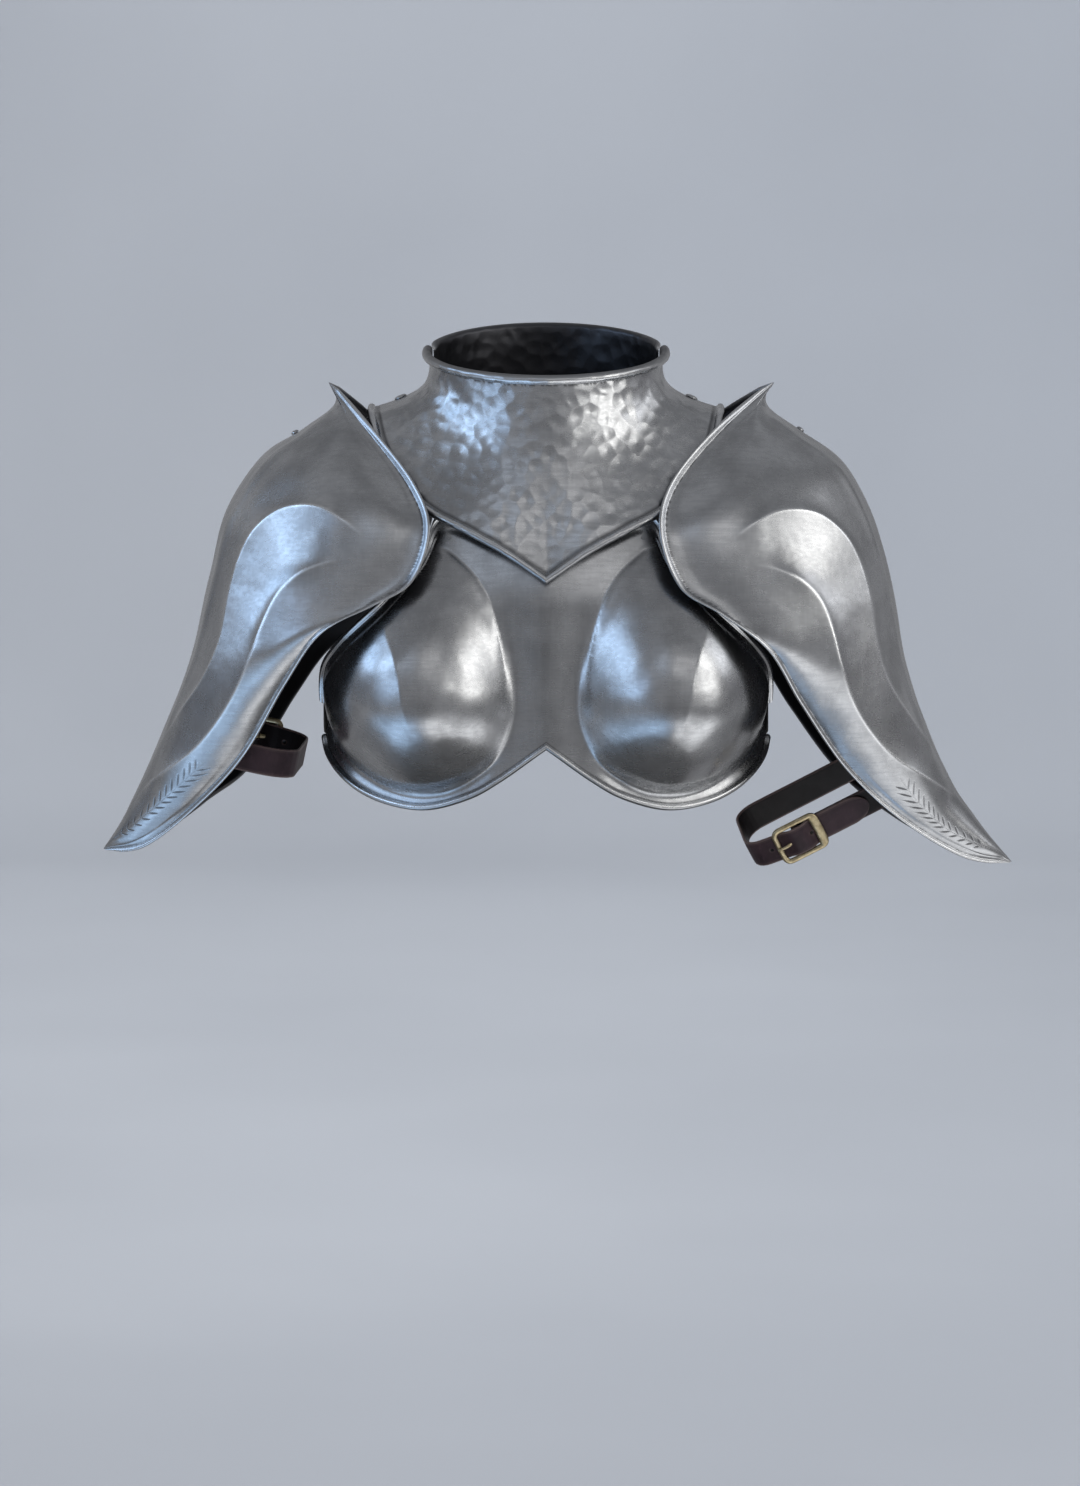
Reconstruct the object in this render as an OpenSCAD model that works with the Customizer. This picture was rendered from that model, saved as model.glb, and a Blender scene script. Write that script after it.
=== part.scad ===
// Steel gorget, breastplate and a pair of winged pauldrons, with their leather straps.
// Millimetres. The origin is the centre of the neck rim. +Z is up, the chest faces -Y,
// and +X is the wearer's left. "left" and "right" are the wearer's.

/* [Plates] */
// Thickness of the steel sheet
sheet_t = 1.4; // [1:0.1:1.8]
// Radius of the wired roll on the neck rim
neck_roll_r = 3.2; // [2.4:0.1:3.8]
// Radius of the wired roll on the gorget's lower edge
gorget_roll_r = 2.6; // [2:0.1:3]
// Radius of the wired roll on the breastplate
breast_roll_r = 2.3; // [2:0.1:2.8]
// Radius of the wired roll on the pauldrons
wing_roll_r = 2; // [1.6:0.1:2.4]

/* [Gorget] */
// Half the width of the neck opening
neck_half_w = 77; // [74:0.5:79]
// Half the depth of the neck opening
neck_half_d = 72; // [69:0.5:75]
// Drop of the rim from the side of the neck to its front, and its rise to the back
neck_tilt = 12; // [8:0.5:15]
// Depth of the collar below the rim at the side
collar_side_h = 24; // [22:0.5:26]
// Extra depth of the collar at the front
collar_front_drop = 34; // [30:0.5:38]
// Free gap between the lapped front and back plates
lap_gap = 0.9; // [0.7:0.1:1.2]
// Radius of the shoulder pivot's shank
pivot_r = 2.2; // [1.8:0.1:2.6]
// Running clearance of the pivot and of the closing stud
pivot_clear = 0.08; // [0.05:0.01:0.1]

/* [Breastplate] */
// Half width of the torso that the breastplate wraps
torso_half_w = 150; // [148:0.5:152]
// Depth from the torso axis to the breastbone at bust height
torso_front_d = 94; // [93:0.5:95]
// Height of a cup over the torso's surface
cup_h = 46; // [36:1:50]
// Height of the raised keel between the cups
keel_h = 2.4; // [1:0.1:3]

/* [Pauldrons] */
// Height of the outward flare along the neck side of the rim
wing_flare = 6; // [3:0.5:7]
// Height of the two feather ridges
feather_h = 3.4; // [2:0.1:4]
// Height of the keel that runs from the spike to the lower tip
wing_keel_h = 3; // [1.5:0.1:3.5]

/* [Straps] */
// Thickness of the strap leather
leather_t = 1.8; // [1.4:0.1:2]
// Width of the arm straps
arm_strap_w = 19; // [16:0.5:20]
// Width of the back strap
back_strap_w = 25; // [20:0.5:27]
// Width of the hangers between gorget and breastplate
chest_hanger_w = 20; // [16:0.5:22]
// Width of the hangers that carry the pauldrons
wing_hanger_w = 14; // [12:0.5:15]
// Shank radius of the strap rivets
rivet_r = 1.5; // [1.2:0.1:1.7]
// Radius of the wire in the buckle frames
wire_r = 1.5; // [1.3:0.1:1.6]

/* [Hidden] */
steel = [0.62, 0.64, 0.67];
leather = [0.16, 0.11, 0.09];
brass = [0.72, 0.58, 0.3];
LEFT = 0;
RIGHT = 1;
$fn = 48;

function lerp(a, b, t) = a + (b - a) * t;
function unit(v) = v / max(norm(v), 1e-9);
function clamp(x, low, high) = min(max(x, low), high);
function smooth(x) = let (t = clamp(x, 0, 1)) t * t * (3 - 2 * t);
function side_of(x) = x < 0 ? -1 : 1;
function mirrored(p, s) = [p[0] * s, p[1], p[2]];
function backwards(list) = [for (i = [len(list) - 1:-1:0]) list[i]];
function sum(list, i = 0) = i < len(list) ? list[i] + sum(list, i + 1) : 0;

// Smooth curve through a list of points, with t running from 0 to 1 along the list
function spline(pts, t) =
    let (n = len(pts) - 1, s = clamp(t, 0, 1) * n, i = min(floor(s), n - 1), f = s - i,
         a = i > 0 ? pts[i - 1] : 2 * pts[0] - pts[1], b = pts[i], c = pts[i + 1],
         d = i + 2 <= n ? pts[i + 2] : 2 * pts[n] - pts[n - 1])
    0.5 * (2 * b + (c - a) * f + (2 * a - 5 * b + 4 * c - d) * f * f
           + (3 * b - a - 3 * c + d) * f * f * f);
function bezier(a, b, c, d, t) =
    let (s = 1 - t) s * s * s * a + 3 * s * s * t * b + 3 * s * t * t * c + t * t * t * d;

// Stands its children at a point, with their Z along ez and their X as near ex as it can be
module stand(at, ez, ex) {
    z = unit(ez);
    y = unit(cross(z, ex));
    x = cross(y, z);
    multmatrix([[x[0], y[0], z[0], at[0]], [x[1], y[1], z[1], at[1]], [x[2], y[2], z[2], at[2]]])
        children();
}
module for_right() {
    mirror([1, 0, 0]) children();
}

// Sheet metal with wired edges
//
// A plate is a grid of points on its outer face, row by row. Each row becomes one closed
// section: the outer face, a bead on the far edge, the inner face and a bead on the near edge.
bead_steps = 4;
function row_slope(grid, i, j) =
    unit(grid[min(i + 1, len(grid) - 1)][j] - grid[max(i - 1, 0)][j]);
function col_slope(grid, i, j) =
    unit(grid[i][min(j + 1, len(grid[i]) - 1)] - grid[i][max(j - 1, 0)]);
function face_normal(grid, i, j) = unit(cross(row_slope(grid, i, j), col_slope(grid, i, j)));
function bead(edge, out, up, r, t) =
    let (centre = edge + up * (r - t), start = asin((t - r) / r))
    [for (k = [0:bead_steps]) let (a = lerp(start, 270, k / bead_steps))
        centre + r * (-cos(a) * out + sin(a) * up)];
function bead_reach(r) = sqrt(r * r - pow(r - sheet_t, 2)) + 0.5;

// Shares of a row where its points lie. A bead reaches a little way in from each edge.
function row_steps(cells, length, near_r, far_r) =
    let (a = bead_reach(near_r) / length, b = 1 - bead_reach(far_r) / length)
    concat([0], [for (c = cells) lerp(a, b, c)], [1]);
function even(cells) = [for (j = [0:cells]) j / cells];

// One closed section of the plate at row i
function plate_section(grid, i, t, near_r, far_r) =
    let (n = len(grid[i]) - 1,
         up = [for (j = [0:n]) face_normal(grid, i, j)],
         out_far = unit(grid[i][n] - grid[i][n - 1]),
         out_near = unit(grid[i][0] - grid[i][1]),
         outer = [for (j = [1:n - 1]) grid[i][j]],
         inner = [for (j = [n - 1:-1:1]) grid[i][j] - t * up[j]])
    concat(outer, bead(grid[i][n], out_far, up[n - 1], far_r, t), inner,
           backwards(bead(grid[i][0], out_near, up[1], near_r, t)));

// Joins closed sections into one solid. m is the number of points on a section's outer face.
module shell(sections, m) {
    rows = len(sections);
    b = bead_steps + 1;
    size = 2 * m + 2 * b;
    points = [for (s = sections) each s];
    walls = [for (i = [0:rows - 2], k = [0:size - 1])
        let (a = i * size + k, c = i * size + (k + 1) % size)
        each [[a, c, a + size], [c, c + size, a + size]]];
    // A cap pairs each outer point with the inner point under it, and fans each bead
    cap = concat(
        [for (j = [0:m - 2]) let (p = 2 * m + b - 1 - j) each [[j, p, j + 1], [j + 1, p, p - 1]]],
        [for (k = [0:b - 1]) [m + b, m + k, m + k - 1]],
        [for (k = [0:b - 2]) [2 * m + b - 1, 2 * m + b + k + 1, 2 * m + b + k]],
        [[2 * m + b - 1, 0, size - 1]]);
    last = (rows - 1) * size;
    caps = concat(cap, [for (f = cap) [f[0] + last, f[2] + last, f[1] + last]]);
    polyhedron(points = points, faces = concat(walls, caps),
               convexity = 8);
}
module plate(grid, near_r, far_r) {
    shell([for (i = [0:len(grid) - 1]) plate_section(grid, i, sheet_t, near_r, far_r)],
          len(grid[0]) - 2);
}
// The same with the radii of its beads given row by row
module plate_with_radii(grid, near_rs, far_rs) {
    shell([for (i = [0:len(grid) - 1]) plate_section(grid, i, sheet_t, near_rs[i], far_rs[i])],
          len(grid[0]) - 2);
}

// Band of even thickness along a path of [x, y] points
function path_normal(p, i) =
    let (d = unit(p[min(i + 1, len(p) - 1)] - p[max(i - 1, 0)])) [-d[1], d[0]];
module band(path, t) {
    polygon(concat([for (i = [0:len(path) - 1]) path[i] + path_normal(path, i) * t / 2],
                   [for (i = [len(path) - 1:-1:0]) path[i] - path_normal(path, i) * t / 2]));
}
function curve(pts, steps) = [for (i = [0:steps]) spline(pts, i / steps)];

// Rivet along Z, whose shank ends flush at 0 with its head below the leather at -grip
module flush_rivet(grip, r = rivet_r) {
    color(steel) {
        translate([0, 0, -grip]) cylinder(r = r, h = grip - 0.1);
        translate([0, 0, -grip - 0.5]) cylinder(r = r * 2, h = 0.5);
        translate([0, 0, -grip - 1.2]) cylinder(r1 = r * 1.3, r2 = r * 2, h = 0.7);
    }
}
module rivet_bore(depth = 6, r = rivet_r) {
    translate([0, 0, -depth]) cylinder(r = r + 0.05, h = 2 * depth);
}

/* Buckles. X runs along the strap towards the tip of its tongue, Z faces out. */
buckle_gap = 0.15;
chape_wrap_t = 1.3;
bar_r = 1.2;
bar_drop = 1.5;
function frame_len(strap_w) = strap_w * 0.55 + 19;
module frame_corner(at, turn, corner, r) {
    translate([at[0], at[1], 0]) rotate([0, 0, turn])
        rotate_extrude(angle = 90) translate([corner, 0]) circle(r = r);
}
module rounded_frame(long, wide, r, corner) {
    a = long / 2 - corner;
    b = wide / 2 - corner;
    frame_corner([a, b], 0, corner, r);
    frame_corner([-a, b], 90, corner, r);
    frame_corner([-a, -b], 180, corner, r);
    frame_corner([a, -b], 270, corner, r);
    for (s = [-1, 1]) {
        translate([-a, s * wide / 2, 0]) rotate([0, 90, 0]) cylinder(r = r, h = 2 * a);
        translate([s * long / 2, b, 0]) rotate([90, 0, 0]) cylinder(r = r, h = 2 * b);
    }
}
module centre_bar_frame(strap_w) {
    wide = strap_w + 2 + 2 * wire_r;
    color(brass) union() {
        rounded_frame(frame_len(strap_w), wide, wire_r, 4);
        translate([0, wide / 2, -bar_drop]) rotate([90, 0, 0]) cylinder(r = bar_r, h = wide);
    }
}
prong_w = 3;
// Prong that turns on a bar along Y, with its path of [x, z] points starting at the bar
module prong(pivot_bar_r, path) {
    color(brass) difference() {
        union() {
            rotate([90, 0, 0]) translate([0, 0, -prong_w / 2])
                cylinder(r = pivot_bar_r + 1.2, h = prong_w);
            rotate([90, 0, 0]) translate([0, 0, -prong_w / 2]) linear_extrude(height = prong_w)
                band(path, 1.5);
        }
        rotate([90, 0, 0]) translate([0, 0, -prong_w]) cylinder(r = pivot_bar_r + 0.08, h = 2 * prong_w);
    }
}
// Heights of the leather's middle in a buckle: under the end bars, and over the wrapped bar
under_bar = -(wire_r + buckle_gap + leather_t / 2);
over_bar = -bar_drop + bar_r + 0.1 + chape_wrap_t + buckle_gap + leather_t / 2;
function centre_prong_path(strap_w) = let (l = frame_len(strap_w) / 2)
    [[-1.9, 0.5], [-5, 1.9], [-9.5, wire_r + 2.5], [-l - 2.2, wire_r + 2.4]];
module centre_bar_prong(strap_w) {
    translate([0, 0, -bar_drop]) prong(bar_r, curve(centre_prong_path(strap_w), 10));
}

/* Gorget */

// Outer edge of the front plate from the point of the V to the seam behind the wearer's left
// shoulder: [angle round the neck, x, y, z]
front_edge = [[0, 0, -99, -140], [12, 28, -96, -121], [25, 53, -89, -108], [38, 76, -78, -97],
              [50, 95, -62, -82], [62, 108, -43, -60], [75, 114, -24, -41], [88, 115, 0, -38],
              [97, 115, 26, -38]];
// Outer edge of the back plate, from its lap under the front plate to the middle of the back
back_edge = [[94.1, 115, 17.6, -38], [96.6, 115, 24.9, -38.2], [101.5, 112, 33.5, -40],
             [112, 98, 46, -47], [127, 78, 59, -60.5], [144, 54, 71, -73.5],
             [162, 27, 80, -84], [180, 0, 84, -91]];

// Point on the gorget where the outer edge is e = [angle, x, y, z] and s runs from rim to edge
function gorget_point(e, s) =
    let (turn = e[0], c = cos(turn),
         rim = [neck_half_w * sin(turn), -neck_half_d * c, -neck_tilt * c],
         base_z = -collar_side_h - (c > 0 ? collar_front_drop : 8) * smooth((abs(c) - 0.35) / 0.65),
         base = [(neck_half_w - 1) * sin(turn), -(neck_half_d + 3) * c, base_z],
         edge = [e[1], e[2], e[3]])
    bezier(rim, lerp(rim, base, 0.92), lerp(base, edge, 0.12), edge, s);
function front_point(u, s) = mirrored(gorget_point(spline(front_edge, abs(u)), s), side_of(u));
function front_normal(u, s) = let (h = 0.002)
    -unit(cross(front_point(u + h, s) - front_point(u - h, s),
                front_point(u, s + h) - front_point(u, s - h)));

gorget_cells = 8;
front_rows = 30;
front_grid = [for (i = [front_rows / 2:-1:-front_rows / 2]) let (u = i / (front_rows / 2),
        length = norm(front_point(u, 0) - front_point(u, 0.5))
                 + norm(front_point(u, 0.5) - front_point(u, 1)))
    [for (s = row_steps(even(gorget_cells), length, neck_roll_r, gorget_roll_r))
        front_point(u, s)]];

// Shoulder pivot on the wearer's left, and the closing stud across from it
pivot_at = front_point(0.965, 0.78);
pivot_axis = front_normal(0.965, 0.78);
stud_at = mirrored(pivot_at, -1);
stud_axis = mirrored(pivot_axis, -1);
lap_depth = 2 * sheet_t + lap_gap;

// Hangers that carry the pauldrons: a bar along Y under each end of the gorget's shoulder
hanger_y = 2;
hanger_bar = [121.5, hanger_y, -47];
hanger_slope = 12;
chape_rivet_u = 0.9;
chape_rivet_s = 0.72;
chape_rivet_at = front_point(chape_rivet_u, chape_rivet_s);
chape_rivet_axis = front_normal(chape_rivet_u, chape_rivet_s);

module front_bores() {
    stand(chape_rivet_at, chape_rivet_axis, [1, 0, 0]) rivet_bore();
    stand(chest_upper_at, chest_upper_axis, [0, 0, 1]) rivet_bore();
}
module gorget_front_plate() {
    color(steel) difference() {
        plate(front_grid, neck_roll_r, gorget_roll_r);
        front_bores();
        for_right() front_bores();
        stand(pivot_at, pivot_axis, [1, 0, 0]) rivet_bore(4, pivot_r + pivot_clear - 0.05);
        // Open slot that the closing stud slides out of
        stand(stud_at, stud_axis, [1, 0, 0]) {
            translate([0, 0, -4]) cylinder(r = pivot_r + pivot_clear, h = 8);
            translate([-pivot_r - pivot_clear, 0, -4]) cube([2 * (pivot_r + pivot_clear), 20, 8]);
        }
    }
}

back_rows = 26;
// Share of the lap that the back plate reaches under the front plate's outer edge
back_reach = 0.9;
function back_raw_point(u, s) = let (e = spline(back_edge, 1 - abs(u)))
    mirrored(gorget_point(e, s * lerp(back_reach, 1, smooth((e[0] - 100) / 25))), side_of(u));
back_inset = sheet_t + lap_gap;
// The rolls taper off before the lap, so that the back plate slides under the front one
lap_roll_r = sheet_t / 2 + 0.05;
function back_roll(i, r) =
    let (turn = spline(back_edge, 1 - abs(i / (back_rows / 2)))[0])
    lerp(lap_roll_r, r, smooth((turn - 98) / 10));
back_neck_rs = [for (i = [-back_rows / 2:back_rows / 2]) back_roll(i, neck_roll_r)];
back_edge_rs = [for (i = [-back_rows / 2:back_rows / 2]) back_roll(i, gorget_roll_r)];
back_raw = [for (i = [-back_rows / 2:back_rows / 2]) let (u = i / (back_rows / 2),
        length = norm(back_raw_point(u, 0) - back_raw_point(u, 0.5))
                 + norm(back_raw_point(u, 0.5) - back_raw_point(u, 1)))
    [for (s = row_steps(even(gorget_cells), length, back_roll(i, neck_roll_r),
                        back_roll(i, gorget_roll_r)))
        back_raw_point(u, s)]];
back_grid = [for (i = [0:back_rows]) [for (j = [0:len(back_raw[i]) - 1])
    back_raw[i][j] - back_inset * face_normal(back_raw, i, j)]];
module gorget_back_plate() {
    color(steel) difference() {
        plate_with_radii(back_grid, back_neck_rs, back_edge_rs);
        stand(pivot_at, pivot_axis, [1, 0, 0]) rivet_bore(9, pivot_r + pivot_clear - 0.05);
        stand(stud_at, stud_axis, [1, 0, 0]) rivet_bore(9, pivot_r);
    }
}
// Domed head over the front plate, shank through both plates, peened washer inside
module gorget_pivot() {
    color(steel) stand(pivot_at, pivot_axis, [1, 0, 0]) {
        translate([0, 0, -lap_depth - 1]) cylinder(r = pivot_r, h = lap_depth + 1.5);
        translate([0, 0, 0.5]) cylinder(r1 = pivot_r * 2, r2 = pivot_r * 1.2, h = 1.5);
        translate([0, 0, -lap_depth - 1.9]) cylinder(r = pivot_r * 2, h = 1);
    }
}
module gorget_closing_stud() {
    color(steel) stand(stud_at, stud_axis, [1, 0, 0]) {
        translate([0, 0, -lap_depth - 1]) cylinder(r = pivot_r, h = lap_depth + 1.5);
        translate([0, 0, 0.5]) cylinder(r1 = pivot_r * 1.9, r2 = pivot_r, h = 1.5);
        translate([0, 0, -lap_depth - 1.9]) cylinder(r = pivot_r * 1.8, h = 1);
    }
}

/* Breastplate */

// Lower and upper edges of the wearer's left half: [angle round the torso, z]
breast_low = [[0, -249], [11, -270], [20, -283], [32, -291], [46, -288], [60, -278], [75, -260]];
breast_high = [[0, -112], [13, -108], [27, -101], [32, -126], [41, -158], [56, -187], [75, -214]];
cup_x = 84;
cup_z = -208;
cup_half_w = 63;
cup_half_h = 74;
torso_back_d = 92;

function torso_depth(z) = torso_front_d - 14 * smooth((z + 150) / 55);
function breast_point(turn, z) =
    let (depth = torso_depth(z), p = [torso_half_w * sin(turn), -depth * cos(turn), z],
         out = unit([sin(turn) / torso_half_w, -cos(turn) / torso_front_d, 0]),
         dx = (abs(p[0]) - cup_x) / cup_half_w, dz = (z - cup_z) / cup_half_h,
         cup = cup_h * pow(max(1 - dx * dx - dz * dz, 0), 1.15),
         keel = keel_h * exp(-pow(p[0] / 9, 2)))
    p + out * (cup + keel);
function breast_normal(turn, z) =
    unit(cross(breast_point(turn, z + 3) - breast_point(turn, z - 3),
               breast_point(turn - 1.2, z) - breast_point(turn + 1.2, z)));

breast_rows = 36;
breast_cells = 12;
breast_grid = [for (i = [breast_rows / 2:-1:-breast_rows / 2])
    let (u = i / (breast_rows / 2), low = spline(breast_low, abs(u)), high = spline(breast_high, abs(u)))
    [for (s = row_steps(even(breast_cells), norm(low - high), breast_roll_r, breast_roll_r))
        let (q = lerp(high, low, s)) mirrored(breast_point(q[0], q[1]), side_of(u))]];

// The hangers keep their place across the chest when the torso's width changes
chest_hanger_x = 63.39;
chest_lower_turn = asin(chest_hanger_x / torso_half_w);
chest_lower_at = breast_point(chest_lower_turn, -114);
chest_lower_axis = breast_normal(chest_lower_turn, -114);
// Hangers that carry the breastplate. The upper rivet is where the gorget crosses the upright
// plane that the lower rivet faces in.
chest_upper_s = 0.658;
chest_side = unit([-chest_lower_axis[1], chest_lower_axis[0], 0]);
chest_upper_us = [for (u = [0.34:0.001:0.47]) u];
chest_off_plane = [for (u = chest_upper_us)
    abs((front_point(u, chest_upper_s) - chest_lower_at) * chest_side)];
chest_upper_u = chest_upper_us[search(min(chest_off_plane), chest_off_plane)[0]];
chest_upper_at = front_point(chest_upper_u, chest_upper_s);
chest_upper_axis = front_normal(chest_upper_u, chest_upper_s);
side_rivet_turn = 71.5;
side_rivet_z = -242;
side_rivet_at = breast_point(side_rivet_turn, side_rivet_z);
side_rivet_axis = breast_normal(side_rivet_turn, side_rivet_z);

module breast_bores() {
    stand(chest_lower_at, chest_lower_axis, [0, 0, 1]) rivet_bore();
    stand(side_rivet_at, side_rivet_axis, [0, 0, 1]) rivet_bore();
}
module breastplate() {
    color(steel) difference() {
        plate(breast_grid, breast_roll_r, breast_roll_r);
        breast_bores();
        for_right() breast_bores();
    }
}

// Leather hanger from the gorget's inner face down to the breastplate's top corner, in the
// upright plane through its two rivets. Its path is [distance out from the breastplate's face,
// height]; the upper end moves with the upper rivet.
chest_across = chest_lower_at - chest_upper_at;
chest_out = unit([chest_lower_axis[0], chest_lower_axis[1], 0]);
chest_hanger_in = 13.56;
chest_shift = chest_hanger_in - chest_across * chest_out;
chest_hanger_path = [[-22.6, -54], [-19.4, -60], [-16.1, -66], [-12.8, -72], [-9.9, -79],
                     [-8.1, -87], [-6.7, -96], [-5.2, -105.5], [-2.9, -114], [-0.5, -122]];
module chest_hanger_left() {
    color(leather) difference() {
        stand([chest_lower_at[0], chest_lower_at[1], 0], cross(chest_out, [0, 0, 1]), chest_out)
            translate([0, 0, -chest_hanger_w / 2]) linear_extrude(height = chest_hanger_w)
                band(curve([for (p = chest_hanger_path)
                    [p[0] + chest_shift * (1 - smooth((-70 - p[1]) / 40)), p[1]]], 18), leather_t);
        stand(chest_lower_at, chest_lower_axis, [0, 0, 1]) rivet_bore();
        stand(chest_upper_at, chest_upper_axis, [0, 0, 1]) rivet_bore();
    }
}
module chest_hanger_right() { for_right() chest_hanger_left(); }
module chest_hanger_upper_rivet_left() {
    stand(chest_upper_at, chest_upper_axis, [0, 0, 1]) flush_rivet(6);
}
module chest_hanger_upper_rivet_right() { for_right() chest_hanger_upper_rivet_left(); }
module chest_hanger_lower_rivet_left() {
    stand(chest_lower_at, chest_lower_axis, [0, 0, 1]) flush_rivet(4);
}
module chest_hanger_lower_rivet_right() { for_right() chest_hanger_lower_rivet_left(); }

/* Back strap: two straps round the back, buckled in the middle */
back_strap_z = -240;
back_in = sheet_t + 0.4 + leather_t / 2;
back_mid_y = 92;
back_lift = leather_t + buckle_gap;
buckle_h = back_lift - under_bar;
// Middle of the leather at an angle from the front, on the wearer's left
function back_path(turn, lift = 0) =
    let (d = turn < 90 ? torso_depth(back_strap_z) - back_in : back_mid_y)
    [(torso_half_w - back_in + lift) * sin(turn), -(d + lift) * cos(turn)];
// How far the back has fallen away in front of the buckle's plane, x from the middle
function back_fall(x) = back_mid_y * (1 - sqrt(1 - pow(x / (torso_half_w - back_in), 2)));
function tongue_heights(l) = [[-l, under_bar], [-l + 5, under_bar + 1.2], [-4.5, over_bar - 0.2],
    [0, over_bar + 0.1], [4.5, over_bar - 0.2], [l - 5, under_bar + 1.2], [l, under_bar]];
function base_heights(l, fall = 0) = [[l + 6, under_bar - back_lift - fall],
    [l, under_bar - back_lift - fall / 4],
    [l - 6, under_bar - back_lift], [4.5, under_bar - back_lift + 0.5], [0.5, -bar_drop - 2.05]];
module prong_slot(strap_w) {
    translate([-11.3, -2, -8]) cube([7.9, 4, 16]);
}
// Leather ring round the centre bar, with room for the prong
module bar_wrap(strap_w) {
    translate([0, 0, -bar_drop]) rotate([90, 0, 0]) translate([0, 0, -strap_w / 2])
        cylinder(r = bar_r + chape_wrap_t, h = strap_w);
}
module bar_wrap_cut(strap_w) {
    translate([0, 0, -bar_drop]) rotate([90, 0, 0]) translate([0, 0, -strap_w / 2 - 1])
        cylinder(r = bar_r + 0.08, h = strap_w + 2);
    translate([-6, -prong_w / 2 - 0.4, -bar_drop - 2.7]) cube([9, prong_w + 0.8, 8]);
}
module rounded_tip(at_x, from_x, w) {
    translate([from_x, -w, -200]) cube([at_x - w / 2 - from_x, 2 * w, 260]);
    translate([at_x - w / 2, 0, -30]) cylinder(r = w / 2, h = 60);
}
module at_back_buckle() {
    stand([0, back_mid_y + buckle_h, back_strap_z], [0, 1, 0], [-1, 0, 0]) children();
}
// Paths over the flat middle of the back, in the buckle's own X and height
back_l = frame_len(back_strap_w) / 2;
function from_buckle(p) = [-p[0], back_mid_y + buckle_h + p[1]];
back_tongue_path = concat([for (a = [64:4:164]) back_path(a)],
    [for (p = curve(concat([[-31, -buckle_h - back_fall(31)], [-23.5, under_bar - 1.5]],
        tongue_heights(back_l), [for (x = [23, 31, 42, 53, 62]) [x, under_bar - back_fall(x) + 0.3]]),
        36)) from_buckle(p)]);
module back_strap_left() {
    color(leather) difference() {
        intersection() {
            translate([0, 0, back_strap_z - back_strap_w / 2]) linear_extrude(height = back_strap_w)
                band(back_tongue_path, leather_t);
            at_back_buckle() rounded_tip(60, -200, back_strap_w);
        }
        at_back_buckle() {
            prong_slot(back_strap_w);
            for (x = [-22, 27, 39]) translate([x, 0, -12]) cylinder(r = 1.3, h = 24);
        }
        stand(side_rivet_at, side_rivet_axis, [0, 0, 1]) rivet_bore();
    }
}
back_base_path = concat([for (a = [64:4:164]) back_path(a)],
    [for (p = curve(concat([[30, -buckle_h - back_fall(30)]], base_heights(back_l, 0.9)), 14))
        [p[0], from_buckle(p)[1]]]);
module back_strap_right() {
    color(leather) difference() {
        union() {
            for_right() translate([0, 0, back_strap_z - back_strap_w / 2])
                linear_extrude(height = back_strap_w) band(back_base_path, leather_t);
            at_back_buckle() bar_wrap(back_strap_w);
        }
        at_back_buckle() bar_wrap_cut(back_strap_w);
        for_right() stand(side_rivet_at, side_rivet_axis, [0, 0, 1]) rivet_bore();
    }
}
module back_buckle_frame() { at_back_buckle() centre_bar_frame(back_strap_w); }
module back_buckle_prong() { at_back_buckle() centre_bar_prong(back_strap_w); }
// Leather loop that keeps the tongue's tip down on the strap under it
keeper_x = 34;
module back_strap_keeper() {
    inner_w = back_strap_w + 0.6;
    inner_h = leather_t * 2 + buckle_gap + 0.9;
    slope = back_mid_y * keeper_x / pow(torso_half_w - back_in, 2);
    color(leather) stand([-keeper_x, back_mid_y - back_fall(keeper_x) + 0.4, back_strap_z],
                         [-slope, 1, 0], [-1, 0, 0])
        rotate([0, 90, 0]) translate([0, 0, -4]) difference() {
            translate([-inner_h / 2 - 2.2, -inner_w / 2 - 1.4, 0]) cube([inner_h + 2.8, inner_w + 2.8, 8]);
            translate([-inner_h / 2 - 0.8, -inner_w / 2, -1]) cube([inner_h, inner_w, 10]);
        }
}
module back_strap_rivet_left() {
    stand(side_rivet_at, side_rivet_axis, [0, 0, 1]) {
        flush_rivet(back_in + leather_t / 2 + 0.3);
        // Domed head, the one that shows
        color(steel) {
            translate([0, 0, -0.2]) cylinder(r = rivet_r, h = 1.2);
            translate([0, 0, 0.8]) cylinder(r1 = rivet_r * 1.9, r2 = rivet_r, h = 1.1);
        }
    }
}
module back_strap_rivet_right() { for_right() back_strap_rivet_left(); }

/* Pauldrons */

// Front rim and keel of each pauldron, from the spike to the lower tip, for the wearer's left
// and then for the right as if mirrored. The pair was raised by hand and its rims differ.
wing_rim = [[[151, 0, -19], [112, -38, -48], [82, -70, -81], [75, -90, -110], [88, -98, -144],
             [114, -98, -161], [145, -92, -185], [167, -75, -222], [197, -53, -267],
             [233, -34, -303], [276, -14, -332], [312, 0, -341]],
            [[144, 0, -19], [115, -38, -48], [87, -70, -81], [77, -90, -108], [88, -98, -140],
             [114, -98, -156], [147, -94, -174], [171, -79, -209], [198, -56, -257],
             [229, -35, -293], [266, -13, -325], [296, 0, -332]]];
wing_keel = [[[151, 0, -19], [147, 0, -34], [168, 0, -51], [196, 0, -71], [216, 0, -106],
              [229, 0, -150], [239, 0, -204], [253, 0, -247], [270, 0, -285], [286, 0, -309],
              [301, 0, -328], [312, 0, -341]],
             [[144, 0, -19], [141, 0, -34], [161, 0, -50], [188, 0, -68], [212, 0, -104],
              [224, 0, -150], [235, 0, -198], [251, 0, -241], [268, 0, -281], [281, 0, -308],
              [290, 0, -323], [296, 0, -332]]];
// How much lower the back half hangs than the front half, beyond the camera-side match
wing_back_hang = [3, 11];
wing_mid_y = -4;
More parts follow.
